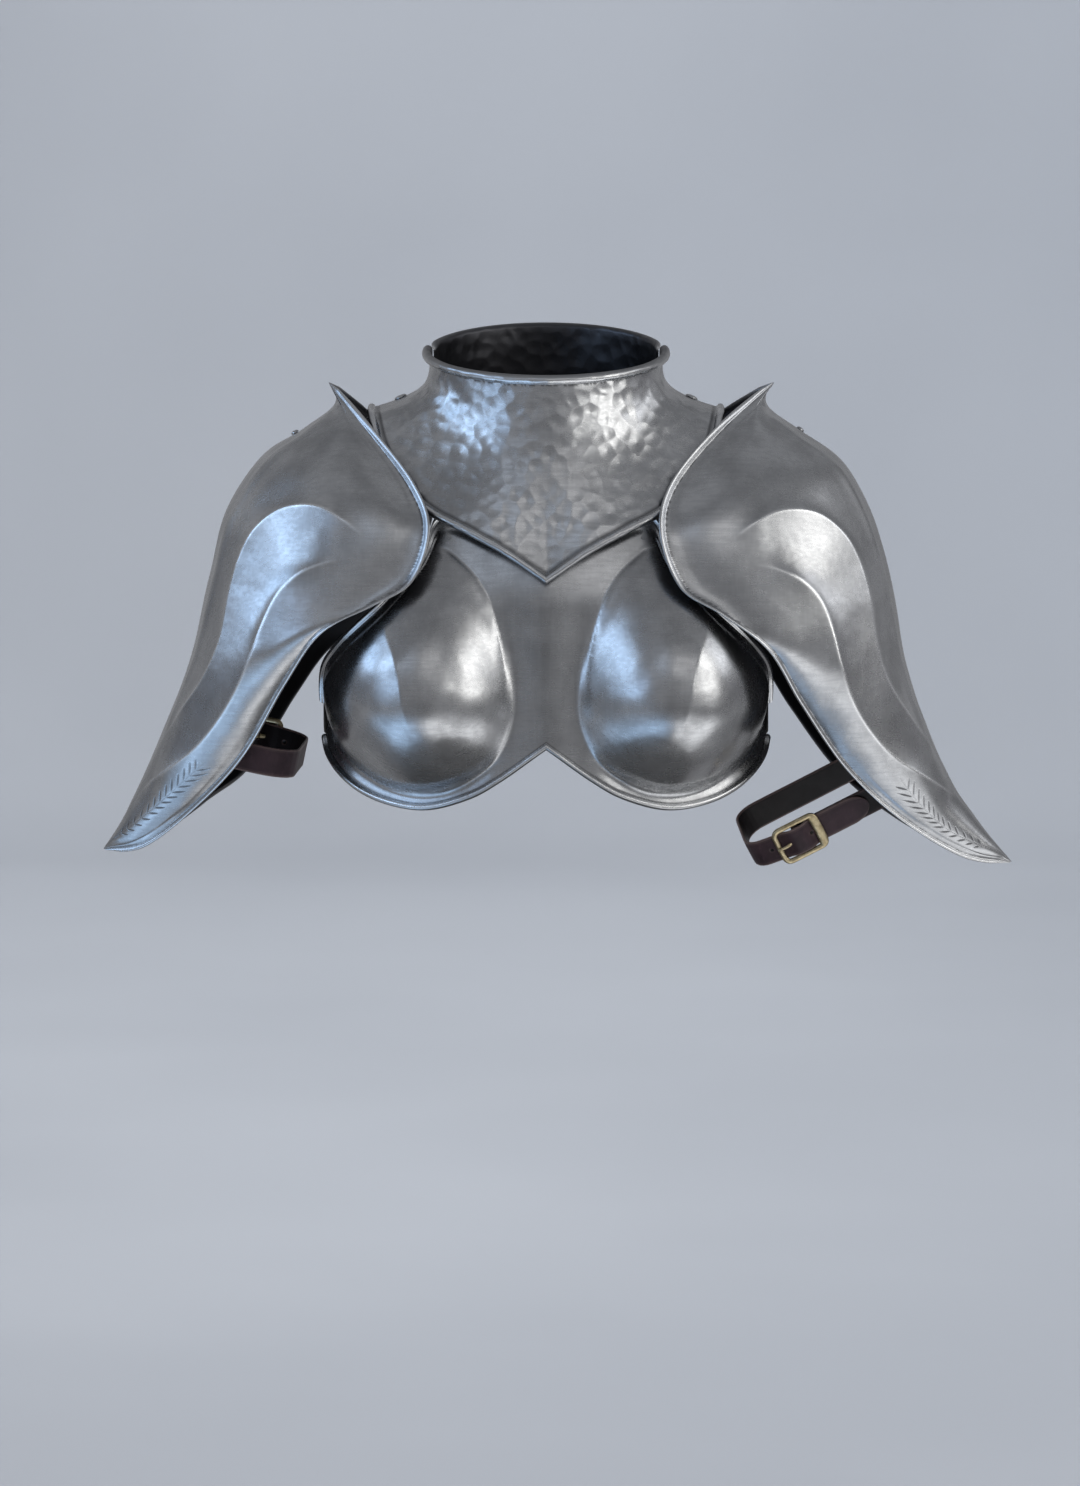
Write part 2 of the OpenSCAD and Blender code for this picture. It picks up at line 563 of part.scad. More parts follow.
// Feather ridges on the front half: [share from spike to tip, share from rim to rim]
feather_1 = [[0.322, 0.09], [0.305, 0.145], [0.301, 0.2], [0.322, 0.26], [0.362, 0.3],
             [0.41, 0.315], [0.46, 0.31], [0.52, 0.29], [0.565, 0.29], [0.6, 0.31],
             [0.64, 0.36], [0.683, 0.43]];
feather_2 = [[0.36, 0.11], [0.387, 0.15], [0.415, 0.175], [0.45, 0.187], [0.5, 0.18],
             [0.55, 0.162], [0.605, 0.148], [0.65, 0.155], [0.69, 0.19], [0.715, 0.26],
             [0.74, 0.34], [0.755, 0.4]];
crease_v = 0.405;

function wing_base(k, u, v) =
    let (rim = spline(wing_rim[k], u), top = spline(wing_keel[k], u), turn = 180 * v,
         drop = (0.29 * abs(rim[1]) + wing_back_hang[k]) * smooth((u - 0.3) / 0.2)
                * smooth((1 - u) / 0.06),
         foot = [rim[0], 0, rim[2] - drop * (1 - cos(turn)) / 2])
    foot + sin(turn) * (top - foot) + cos(turn) * [0, rim[1], 0]
    + [0, wing_mid_y * smooth(u / 0.1) * smooth((1 - u) / 0.1), 0];
function wing_normal(k, u, v) =
    let (h = 0.004) unit(cross(wing_base(k, u + h, v) - wing_base(k, u - h, v),
                               wing_base(k, u, v + h) - wing_base(k, u, v - h)));
function ridge_line(k, ridge, back) = [for (i = [0:22]) let (q = spline(ridge, i / 22))
    wing_base(k, q[0], back ? 1 - q[1] : q[1])];
// Signed distance of p from a ridge, positive towards the keel, with the share along the ridge
function ridge_place(line, p, out) =
    let (d = [for (q = line) norm(p - q)], n = len(line) - 1, i = search(min(d), d)[0],
         along = unit(line[min(i + 1, n)] - line[max(i - 1, 0)]), v = p - line[i])
    [(cross(along, v) * out > 0 ? 1 : -1) * norm(v - (v * along) * along), i / n, min(d)];
function feather_lift(place, flip) =
    let (d = place[0] * flip, far = exp(-pow(place[2] / 30, 2)),
         fade = smooth(place[1] / 0.25) * smooth((1 - place[1]) / 0.3))
    feather_h * fade * far * (d < 0 ? exp(-pow(d / 18, 2))
                                    : 1.3 * exp(-pow(d / 5, 2)) - 0.3 * exp(-pow(d / 12, 2)));
feather_lines = [for (k = [LEFT, RIGHT]) [for (back = [false, true])
    [ridge_line(k, feather_1, back), ridge_line(k, feather_2, back)]]];
function wing_lift(k, u, v) =
    let (p = wing_base(k, u, v), out = wing_normal(k, u, v), back = v > 0.5 ? 1 : 0,
         from_rim = norm(p - wing_base(k, u, back)),
         from_crease = norm(p - wing_base(k, u, back == 1 ? 1 - crease_v : crease_v)),
         neck_side = smooth(u / 0.08) * (1 - smooth((u - 0.36) / 0.2)),
         hollow = -wing_flare * 0.6 * neck_side * (from_rim / 12) * exp(1 - from_rim / 12),
         crease = 0.4 * wing_keel_h * smooth((u - 0.1) / 0.05) * (1 - smooth((u - 0.6) / 0.1))
                  * exp(-pow(from_crease / 6, 2)),
         lines = feather_lines[k][back], flip = back == 1 ? -1 : 1,
         inside = smooth(from_rim / 8))
    hollow + crease + inside * (feather_lift(ridge_place(lines[0], p, out), flip)
                                + feather_lift(ridge_place(lines[1], p, out), flip));
function wing_point(k, u, v) = wing_base(k, u, v) + wing_normal(k, u, v) * wing_lift(k, u, v);

wing_rows = 31;
wing_cells = [0, 0.045, 0.1, 0.15, 0.2, 0.255, 0.32, 0.4, 0.5, 0.6, 0.68, 0.745, 0.8, 0.85, 0.9,
              0.955, 1];
// Each row drawn again much smaller at the tip closes the plate to a point there
tip_share = 0.14;
function towards(row, tip) = [for (p = row) tip + tip_share * (p - tip)];
function wing_row(k, u) =
    let (length = sum([for (j = [0:7]) norm(wing_base(k, u, j / 8) - wing_base(k, u, (j + 1) / 8))]))
    [for (v = row_steps(wing_cells, length, wing_roll_r, wing_roll_r)) wing_point(k, u, v)];
function wing_grid(k) = [for (i = [0:wing_rows]) wing_row(k, lerp(0.02, 0.96, i / wing_rows))];

function wing_sections(k) =
    let (grid = wing_grid(k),
         body = [for (i = [0:len(grid) - 1])
             plate_section(grid, i, sheet_t, wing_roll_r, wing_roll_r)])
    concat([towards(body[0], wing_rim[k][0])], body,
           [towards(body[len(body) - 1], wing_rim[k][11])]);

// Rivets through the pauldron: [share along, share across]
hanger_rivet_uv = [[0.183, 0.53], [0.201, 0.53]];
arm_front_uv = [[0.702, 0.335], [0.675, 0.28]];
arm_back_uv = [[0.666, 0.665], [0.665, 0.75]];
module on_wing(k, uv) {
    stand(wing_point(k, uv[0], uv[1]), wing_normal(k, uv[0], uv[1]), [0, 0, 1]) children();
}
module pauldron(k) {
    color(steel) difference() {
        shell(wing_sections(k), len(wing_cells));
        on_wing(k, hanger_rivet_uv[k]) rivet_bore();
        on_wing(k, arm_front_uv[k]) rivet_bore();
        on_wing(k, arm_back_uv[k]) rivet_bore();
    }
}
module pauldron_left() { pauldron(LEFT); }
module pauldron_right() { for_right() pauldron(RIGHT); }

/* Hangers: a steel chape under the gorget's shoulder, and a buckle and strap on the pauldron */
hanger_l = 18;
hanger_clear = 0.06;
hanger_in_w = wing_hanger_w + 1.6;
module at_hanger() {
    translate(hanger_bar) rotate([0, hanger_slope, 0]) children();
}
chape_t = 1.2;
// Path of the chape in the XZ plane, from under the gorget to the barrel
// It keeps chape_in below the gorget's outer face, then runs down to the barrel.
chape_in = 3.15;
chape_edge = spline(front_edge, 0.8849);
function gorget_at_chape(s) = let (p = gorget_point(chape_edge, s)) [p[0], p[2]];
function chape_under(s) =
    let (along = unit(gorget_at_chape(s + 0.002) - gorget_at_chape(s - 0.002)))
    gorget_at_chape(s) - chape_in * [-along[1], along[0]];
chape_path = concat([for (s = [0.597, 0.698, 0.82, 0.917]) chape_under(s)],
    [for (p = [[-7.5, 5.8], [-3.5, 3.6], [-1.6, 1.9]]) [hanger_bar[0] + p[0], hanger_bar[2] + p[1]]]);
module hanger_chape_left() {
    color(steel) difference() {
        union() {
            translate([0, hanger_y + wing_hanger_w / 2 - 1, 0]) rotate([90, 0, 0])
                linear_extrude(height = wing_hanger_w - 2) band(curve(chape_path, 12), chape_t);
            translate(hanger_bar + [0, wing_hanger_w / 2 - 1, 0]) rotate([90, 0, 0])
                cylinder(r = wire_r + chape_t + 0.1, h = wing_hanger_w - 2);
        }
        translate(hanger_bar + [0, wing_hanger_w, 0]) rotate([90, 0, 0])
            cylinder(r = wire_r + hanger_clear, h = 2 * wing_hanger_w);
        // Room for the prong
        translate(hanger_bar + [-3.4, -prong_w / 2 - 0.4, -6]) cube([9, prong_w + 0.8, 12]);
        stand(chape_rivet_at, chape_rivet_axis, [1, 0, 0]) rivet_bore(8);
    }
}
module hanger_chape_right() { for_right() hanger_chape_left(); }
module hanger_chape_rivet_left() {
    stand(chape_rivet_at, chape_rivet_axis, [1, 0, 0]) flush_rivet(4.7);
}
module hanger_chape_rivet_right() { for_right() hanger_chape_rivet_left(); }
module hanger_frame_left() {
    wide = hanger_in_w + 2 * wire_r;
    color(steel) at_hanger() translate([hanger_l / 2, 0, 0])
        rounded_frame(hanger_l, wide, wire_r, 2.4);
}
module hanger_frame_right() { for_right() hanger_frame_left(); }
hanger_prong_path = [[1.8, -0.9], [5, -2], [9, -2.5], [14, -2.55], [hanger_l + 1.8, -2.55]];
module hanger_prong_left() {
    at_hanger() prong(wire_r, curve(hanger_prong_path, 8));
}
module hanger_prong_right() { for_right() hanger_prong_left(); }
// Strap from the pauldron's crown, over the outer bar, down through the frame and under the
// barrel. Its path is in the hanger's own X and height, then in the XZ plane by the crown.
function hanger_local(p) = let (c = cos(hanger_slope), s = sin(hanger_slope))
    [hanger_bar[0] + p[0] * c + p[1] * s, hanger_bar[2] - p[0] * s + p[1] * c];
under_barrel = -(wire_r + chape_t + 0.1 + buckle_gap + leather_t / 2);
over_outer = wire_r + buckle_gap + leather_t / 2;
hanger_in = [4.9, 4.6];
function hanger_strap_path(k) = concat(
    [for (p = [[-13, under_barrel + 0.1], [-6, under_barrel - 0.1], [1, under_barrel - 0.1],
               [5, under_barrel + 0.6], [12, over_outer - 1.6], [hanger_l, over_outer]]) hanger_local(p)],
    [for (u = [[0.166, 0.18, 0.2, 0.22, 0.238], [0.176, 0.192, 0.21, 0.228, 0.245]][k])
        let (p = wing_point(k, u, 0.52), n = wing_normal(k, u, 0.52), q = p - hanger_in[k] * n) [q[0], q[2]]]);
module hanger_strap(k) {
    color(leather) difference() {
        translate([0, hanger_y + wing_hanger_w / 2, 0]) rotate([90, 0, 0])
            linear_extrude(height = wing_hanger_w) band(curve(hanger_strap_path(k), 30), leather_t);
        at_hanger() translate([2.6, -2, -8]) cube([11, 4, 16]);
        on_wing(k, hanger_rivet_uv[k]) rivet_bore(9);
    }
}
module hanger_strap_left() { hanger_strap(LEFT); }
module hanger_strap_right() { for_right() hanger_strap(RIGHT); }
module hanger_rivet(k) {
    on_wing(k, hanger_rivet_uv[k]) {
        flush_rivet(hanger_in[k] + leather_t / 2 + 0.5);
        color(steel) translate([0, 0, -0.2]) cylinder(r = rivet_r, h = 0.8);
        color(steel) translate([0, 0, 0.5]) cylinder(r1 = 2.7, r2 = 1.5, h = 1.6);
    }
}
module hanger_rivet_left() { hanger_rivet(LEFT); }
module hanger_rivet_right() { for_right() hanger_rivet(RIGHT); }

/* Arm straps: a loop from two rivets inside the pauldron, with a centre-bar buckle */
pad_gap = 1.3;
pad_in = sheet_t + pad_gap + leather_t / 2;
pad_r = 6;
// The base of the left strap starts at the front rivet, and that of the right at the back one
arm_base_uv = [arm_front_uv[LEFT], arm_back_uv[RIGHT]];
arm_tongue_uv = [arm_back_uv[LEFT], arm_front_uv[RIGHT]];
function pad_at(k, uv) = wing_point(k, uv[0], uv[1]) - pad_in * wing_normal(k, uv[0], uv[1]);
arm_reach_dir = [[-0.888, 0, -0.46], [-0.978, 0, -0.208]];
arm_reach = [129, 73];
arm_end_r = [14, 22];
arm_buckle_back = [34, 36];
arm_tip = [51, 24];
function arm_half(k) = norm(pad_at(k, arm_base_uv[k]) - pad_at(k, arm_tongue_uv[k])) / 2;
function arm_mid(k) = (pad_at(k, arm_base_uv[k]) + pad_at(k, arm_tongue_uv[k])) / 2;
function arm_out(k) = unit(pad_at(k, arm_base_uv[k]) - pad_at(k, arm_tongue_uv[k]));
function arm_along(k) = let (o = arm_out(k), d = arm_reach_dir[k]) unit(d - (d * o) * o);
// X runs from the rivets to the end of the loop, Y from the tongue's rivet to the base's
module at_arm(k) {
    stand(arm_mid(k), cross(arm_along(k), arm_out(k)), arm_along(k)) children();
}
arm_l = frame_len(arm_strap_w) / 2;
module at_arm_buckle(k) {
    at_arm(k) stand([arm_reach[k] - arm_buckle_back[k], arm_half(k) + buckle_h, 0], [0, 1, 0],
                    [-1, 0, 0]) children();
}
function from_arm_buckle(k, p) =
    [arm_reach[k] - arm_buckle_back[k] - p[0], arm_half(k) + buckle_h + p[1]];
function arm_corner(k, side) = let (r = arm_end_r[k], x = arm_reach[k] - r, y = arm_half(k) - r)
    [for (a = [-90:15:0]) [x + r * cos(a), side * (y - r * sin(a))]];
function arm_tongue_path(k) = concat(
    [[5, -arm_half(k)], [(arm_reach[k] - arm_end_r[k]) / 2, -arm_half(k) - 0.6]],
    arm_corner(k, -1), backwards([for (p = arm_corner(k, 1)) if (p[1] < arm_half(k) - 0.8) p]),
    [for (p = curve(concat(tongue_heights(arm_l),
        [for (x = [arm_l + 6, (arm_l + arm_tip[k]) / 2 + 4, arm_tip[k] + 1]) [x, under_bar]]), 26))
        from_arm_buckle(k, p)]);
function arm_base_path(k) = concat([[5, arm_half(k)]],
    [for (p = curve(base_heights(arm_l), 12)) from_arm_buckle(k, p)]);
module arm_pad(k, uv) {
    on_wing(k, uv) translate([0, 0, -pad_in - leather_t / 2]) cylinder(r = pad_r, h = leather_t);
}
// Leather that bends from the pad to the start of the strap. side is 1 for the base.
module arm_lead(k, uv, side) {
    hull() {
        arm_pad(k, uv);
        at_arm(k) translate([5.2, side * arm_half(k) - leather_t / 2 + 0.15, -arm_strap_w / 2 + 0.4])
            cube([1.6, leather_t - 0.3, arm_strap_w - 0.8]);
    }
}
// Bore for the rivet, with room for its head under the leather
module pad_bore(k, uv) {
    on_wing(k, uv) {
        rivet_bore(9);
        translate([0, 0, -pad_in - leather_t / 2 - 9]) cylinder(r = rivet_r * 2 + 0.3, h = 9);
    }
}
module arm_strap_tongue(k) {
    color(leather) difference() {
        union() {
            intersection() {
                at_arm(k) translate([0, 0, -arm_strap_w / 2]) linear_extrude(height = arm_strap_w)
                    band(arm_tongue_path(k), leather_t);
                at_arm_buckle(k) union() {
                    rounded_tip(arm_tip[k], -200, arm_strap_w);
                    translate([-200, -20, -200]) cube([400, 40, 180]);
                }
            }
            arm_lead(k, arm_tongue_uv[k], -1);
        }
        at_arm_buckle(k) {
            prong_slot(arm_strap_w);
            for (x = k == LEFT ? [-20, 6.8] : [6.8]) translate([x, 0, -6]) cylinder(r = 1.2, h = 12);
        }
        pad_bore(k, arm_tongue_uv[k]);
    }
}
module arm_strap_base(k) {
    color(leather) difference() {
        union() {
            at_arm(k) translate([0, 0, -arm_strap_w / 2]) linear_extrude(height = arm_strap_w)
                band(arm_base_path(k), leather_t);
            at_arm_buckle(k) bar_wrap(arm_strap_w);
            arm_lead(k, arm_base_uv[k], 1);
        }
        at_arm_buckle(k) bar_wrap_cut(arm_strap_w);
        pad_bore(k, arm_base_uv[k]);
    }
}
module arm_strap_base_left() { arm_strap_base(LEFT); }
module arm_strap_base_right() { for_right() arm_strap_base(RIGHT); }
module arm_strap_tongue_left() { arm_strap_tongue(LEFT); }
module arm_strap_tongue_right() { for_right() arm_strap_tongue(RIGHT); }
module arm_buckle_frame_left() { at_arm_buckle(LEFT) centre_bar_frame(arm_strap_w); }
module arm_buckle_frame_right() { for_right() at_arm_buckle(RIGHT) centre_bar_frame(arm_strap_w); }
module arm_buckle_prong_left() { at_arm_buckle(LEFT) centre_bar_prong(arm_strap_w); }
module arm_buckle_prong_right() { for_right() at_arm_buckle(RIGHT) centre_bar_prong(arm_strap_w); }
module arm_rivet(k, uv) { on_wing(k, uv) flush_rivet(pad_in + leather_t / 2 + 0.05); }
module arm_front_rivet_left() { arm_rivet(LEFT, arm_front_uv[LEFT]); }
module arm_front_rivet_right() { for_right() arm_rivet(RIGHT, arm_front_uv[RIGHT]); }
module arm_back_rivet_left() { arm_rivet(LEFT, arm_back_uv[LEFT]); }
module arm_back_rivet_right() { for_right() arm_rivet(RIGHT, arm_back_uv[RIGHT]); }

gorget_front_plate();
gorget_back_plate();
gorget_pivot();
gorget_closing_stud();
breastplate();
chest_hanger_left();
chest_hanger_right();
chest_hanger_upper_rivet_left();
chest_hanger_upper_rivet_right();
chest_hanger_lower_rivet_left();
chest_hanger_lower_rivet_right();
back_strap_left();
back_strap_right();
back_buckle_frame();
back_buckle_prong();
back_strap_keeper();
back_strap_rivet_left();
back_strap_rivet_right();
pauldron_left();
pauldron_right();
hanger_chape_left();
hanger_chape_right();
hanger_chape_rivet_left();
hanger_chape_rivet_right();
hanger_frame_left();
hanger_frame_right();
hanger_prong_left();
hanger_prong_right();
hanger_strap_left();
hanger_strap_right();
hanger_rivet_left();
hanger_rivet_right();
arm_strap_base_left();
arm_strap_base_right();
arm_strap_tongue_left();
arm_strap_tongue_right();
arm_buckle_frame_left();
arm_buckle_frame_right();
arm_buckle_prong_left();
arm_buckle_prong_right();
arm_front_rivet_left();
arm_front_rivet_right();
arm_back_rivet_left();
arm_back_rivet_right();
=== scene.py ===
import itertools
import math

import bmesh
import bpy
import numpy as np
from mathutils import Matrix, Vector


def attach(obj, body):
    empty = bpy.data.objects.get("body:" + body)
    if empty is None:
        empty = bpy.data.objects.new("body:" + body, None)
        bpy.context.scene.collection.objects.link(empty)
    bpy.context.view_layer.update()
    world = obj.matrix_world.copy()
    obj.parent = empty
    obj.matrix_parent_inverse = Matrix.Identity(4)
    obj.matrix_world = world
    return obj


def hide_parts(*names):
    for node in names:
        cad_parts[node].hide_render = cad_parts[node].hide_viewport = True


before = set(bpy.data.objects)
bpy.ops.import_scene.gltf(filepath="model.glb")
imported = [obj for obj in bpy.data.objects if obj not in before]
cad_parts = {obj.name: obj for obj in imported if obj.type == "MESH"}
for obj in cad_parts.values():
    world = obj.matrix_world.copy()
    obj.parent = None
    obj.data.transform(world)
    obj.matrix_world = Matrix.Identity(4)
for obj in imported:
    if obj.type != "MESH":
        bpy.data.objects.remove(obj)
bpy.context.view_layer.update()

# Studio. A round pale room with a coved floor, lit softly from above. A cool window stands to the
# left and a white one to the right, and the camera looks on from a little above.
mm = 0.001
scene = bpy.context.scene
aim = Vector((-0.004, 0.0, -0.2602))
away, rise = 4.0, math.radians(8.1)
lens_data = bpy.data.cameras.new("camera")
lens_data.lens = 145.36
lens_data.sensor_width = 36
lens_data.clip_end = 50
camera = bpy.data.objects.new("camera", lens_data)
camera.location = aim + away * Vector((0, -math.cos(rise), math.sin(rise)))
camera.rotation_euler = (camera.location - aim).to_track_quat("Z", "Y").to_euler()
scene.collection.objects.link(camera)
scene.camera = camera


def softbox(name, at, wide, high, watts, colour, look_at):
    light = bpy.data.lights.new(name, "AREA")
    light.shape = "RECTANGLE"
    light.size, light.size_y = wide, high
    light.energy = watts
    light.color = colour
    lamp = bpy.data.objects.new(name, light)
    lamp.location = at
    lamp.rotation_euler = (Vector(at) - Vector(look_at)).to_track_quat("Z", "Y").to_euler()
    lamp.visible_camera = False
    lamp.visible_glossy = False
    scene.collection.objects.link(lamp)


softbox("overhead", (0.0, 0.0, 3.6), 6.0, 6.0, 230, (0.93, 0.96, 1.0), (0, 0.001, 0))
softbox("backdrop_wash", (0.0, 3.6, 2.6), 2.4, 1.6, 85, (0.93, 0.97, 1.0), (0, 7, -0.9))

world = bpy.data.worlds.new("room")
scene.world = world
world.use_nodes = True
scene.view_settings.view_transform = "Standard"


class Wire:
    """One socket in a material, with the operators that add its Math nodes."""

    def __init__(self, nodes, socket):
        self.nodes, self.socket = nodes, socket

    def _math(self, operation, *values):
        return self.nodes.add("ShaderNodeMath", {"operation": operation}, values)

    def __add__(self, other): return self._math("ADD", self, other)
    __radd__ = __add__
    def __sub__(self, other): return self._math("SUBTRACT", self, other)
    def __rsub__(self, other): return self._math("SUBTRACT", other, self)
    def __mul__(self, other): return self._math("MULTIPLY", self, other)
    __rmul__ = __mul__
    def above(self, low, high):
        return self.nodes.add("ShaderNodeMapRange", {"interpolation_type": "SMOOTHSTEP"},
                              {"Value": self, "From Min": low, "From Max": high})


class Nodes:
    """A node tree, and what is added to it."""

    def __init__(self, tree):
        self.tree = tree

    def add(self, kind, settings={}, values=(), output=0):
        node = self.tree.nodes.new(kind)
        for key, value in settings.items():
            setattr(node, key, value)
        pairs = values.items() if isinstance(values, dict) else enumerate(values)
        for key, value in pairs:
            if isinstance(value, Wire):
                self.tree.links.new(value.socket, node.inputs[key])
            else:
                node.inputs[key].default_value = value
        return Wire(self, node.outputs[output])

    def place(self, stretch=(1, 1, 1), turn=(0, 0, 0)):
        coords = self.add("ShaderNodeTexCoord", output="Object")
        return self.add("ShaderNodeMapping", {},
                        {"Vector": coords, "Scale": stretch, "Rotation": turn})

    def noise(self, size_mm, detail=3.0, rough=0.5, stretch=(1, 1, 1), turn=(0, 0, 0)):
        return self.add("ShaderNodeTexNoise", {}, {
            "Vector": self.place(stretch, turn), "Scale": 1000 / size_mm, "Detail": detail,
            "Roughness": rough})

    def attribute(self, name):
        return self.add("ShaderNodeAttribute", {"attribute_name": name}, output="Fac")

    def mix(self, factor, a, b):
        """Colour a turning into colour b. The sockets for colours have no names of their own."""
        a, b = (c if isinstance(c, Wire) else (*c, 1) for c in (a, b))
        return self.add("ShaderNodeMix", {"data_type": "RGBA"}, {0: factor, 6: a, 7: b}, output=2)

    def bump(self, height, depth_mm, strength=1.0, under=None):
        values = {"Height": height, "Distance": depth_mm * mm, "Strength": strength}
        if under is not None:
            values["Normal"] = under
        return self.add("ShaderNodeBump", {}, values)


class Finish(Nodes):
    """A material, with fixed values or wires for its shader's inputs."""

    def __init__(self, name, metallic, roughness, **fixed):
        self.material = bpy.data.materials.new(name)
        self.material.use_nodes = True
        super().__init__(self.material.node_tree)
        self.shader = self.tree.nodes["Principled BSDF"]
        for key, value in {"Metallic": metallic, "Roughness": roughness, **fixed}.items():
            self.shader.inputs[key.replace("_", " ")].default_value = value

    def feed(self, **links):
        for name, wire in links.items():
            self.tree.links.new(wire.socket, self.shader.inputs[name.replace("_", " ")])


# What the polished steel mirrors: a dim ceiling, a grey room, a floor that falls off to dark
# under the armour, the panes of the cool window and of the white one, and clutter between them.
# The bearing is 0 straight ahead of the chest and grows to the right; heights go from -1 to 1.
room = Nodes(world.node_tree)
heading = room.add("ShaderNodeTexCoord", output="Generated")
heading_x, heading_y, heading_z = (
    room.add("ShaderNodeSeparateXYZ", {}, [heading], output=axis) for axis in "XYZ")
bearing = room.add("ShaderNodeMath", {"operation": "ARCTAN2"}, [heading_x, 0 - heading_y])


def between(value, low, high, soft):
    """1 where a value lies between low and high, with soft ends."""
    return value.above(low - soft, low + soft) * (1 - value.above(high - soft, high + soft))


light_in = (0.10, 0.095, 0.095)
for low, high, glow in ((-0.99, -0.75, (0.29, 0.293, 0.305)),
                        (-0.25, 0.20, (0.34, 0.345, 0.36)),
                        (0.45, 0.85, (0.30, 0.308, 0.325))):
    light_in = room.mix(heading_z.above(low, high), light_in, glow)
for left, right, low, high, soft, glow in (
        (-1.35, -0.10, -0.99, -0.46, 0.17, (0.80, 1.13, 1.58)),
        (0.10, 1.35, -0.99, -0.46, 0.17, (1.55, 1.57, 1.60)),
        (-2.10, -1.36, -0.12, 0.16, 0.08, (0.19, 0.20, 0.225)),
        (-1.66, -1.30, 0.24, 0.56, 0.06, (1.50, 2.15, 3.10)),
        (-1.14, -0.66, 0.00, 0.15, 0.06, (1.30, 1.85, 2.65)),
        (-1.20, -0.92, 0.22, 0.52, 0.06, (1.80, 2.50, 3.50)),
        (-0.76, -0.58, 0.12, 0.27, 0.05, (1.05, 1.40, 1.95)),
        (0.52, 0.76, 0.10, 0.30, 0.05, (2.0, 2.0, 1.96)),
        (0.80, 1.22, 0.00, 0.16, 0.06, (3.3, 3.28, 3.20)),
        (0.92, 1.24, 0.22, 0.55, 0.06, (3.4, 3.38, 3.30)),
        (1.34, 2.05, -0.12, 0.14, 0.08, (0.22, 0.22, 0.235)),
        (1.34, 1.70, 0.22, 0.56, 0.06, (2.7, 2.75, 2.85)),
        (-0.42, -0.12, 0.36, 0.60, 0.06, (0.62, 0.70, 0.82)),
        (0.04, 0.46, 0.32, 0.64, 0.07, (0.85, 0.85, 0.86)),
        (-0.30, 0.30, -0.50, 0.02, 0.14, (0.18, 0.18, 0.185))):
    pane = between(bearing, left, right, soft) * between(heading_z, low, high, soft * 1.2)
    light_in = room.mix(pane, light_in, glow)
clutter = room.add("ShaderNodeTexNoise", {}, {"Vector": heading, "Scale": 4.8, "Detail": 3.5,
                                              "Roughness": 0.55})
light_in = room.mix(clutter.above(0.42, 0.60) * 0.62, light_in, (0.09, 0.092, 0.10))
background = room.tree.nodes["Background"]
room.tree.links.new(light_in.socket, background.inputs["Color"])
background.inputs["Strength"].default_value = 1.0


def made_of(name, shape, finish):
    """A new object of one finish from a shape, which it uses up."""
    mesh = bpy.data.meshes.new(name)
    shape.to_mesh(mesh)
    shape.free()
    mesh.materials.append(finish.material)
    thing = bpy.data.objects.new(name, mesh)
    scene.collection.objects.link(thing)
    return thing


backdrop_paint = Finish("backdrop_paint", 0.0, 0.85)
backdrop_paint.feed(Base_Color=backdrop_paint.mix(
    backdrop_paint.noise(1500, 3.0).above(0.3, 0.7),
    (0.425, 0.435, 0.46), (0.475, 0.485, 0.51)))
cove = bmesh.new()
floor_z, bend_at, wall_at = -1.3, 6, 7
profile = [(0, 0), (2, 0), (4, 0), (bend_at, 0)]
profile += [(bend_at + math.sin(t), 1 - math.cos(t)) for t in (0.26, 0.52, 0.79, 1.05, 1.31, 1.57)]
profile += [(wall_at, 2.0), (wall_at, 3.0), (wall_at, 4.5)]
outline = [cove.verts.new((x, 0, z + floor_z)) for x, z in profile]
for one, two in zip(outline, outline[1:]):
    cove.edges.new((one, two))
bmesh.ops.spin(cove, geom=cove.verts[:] + cove.edges[:], axis=(0, 0, 1), cent=(0, 0, 0),
               angle=2 * math.pi, steps=96, use_merge=True)
bmesh.ops.remove_doubles(cove, verts=cove.verts, dist=1e-5)
bmesh.ops.recalc_face_normals(cove, faces=cove.faces)
for face in cove.faces:
    face.smooth = True
backdrop = made_of("backdrop", cove, backdrop_paint)
backdrop.visible_glossy = False
backdrop.visible_shadow = False

# A flag of dark cloth lies under the breast, out of the camera's sight, where the steel's
# undersides mirror it.
flag_cloth = Finish("flag_cloth", 0.0, 0.9, Base_Color=(0.12, 0.115, 0.11, 1.0))
flag = bmesh.new()
bmesh.ops.create_circle(flag, cap_ends=True, segments=48, radius=1)
bmesh.ops.scale(flag, vec=(0.16, 0.17, 1), verts=flag.verts)
bmesh.ops.translate(flag, vec=(0, -0.09, -0.43), verts=flag.verts)
black_flag = made_of("flag", flag, flag_cloth)
black_flag.visible_camera = False
black_flag.visible_shadow = False
black_flag.visible_diffuse = False

# Gorget, front plate. One sheet of steel hammered over a stake into a flared collar and a flat V,
# with a wire rolled into its neck rim and into its lower edge. The hammer marks are left in.
sheet = 1.4
neck_roll, gorget_roll = 3.2, 2.6
roll_steps = 11


def smooth(x):
    """0 below 0, 1 above 1, and an S between."""
    t = np.clip(x, 0, 1)
    return t * t * (3 - 2 * t)


def bell(x, wide):
    """1 at 0, falling off to both sides."""
    return np.exp(-(x / wide) ** 2)


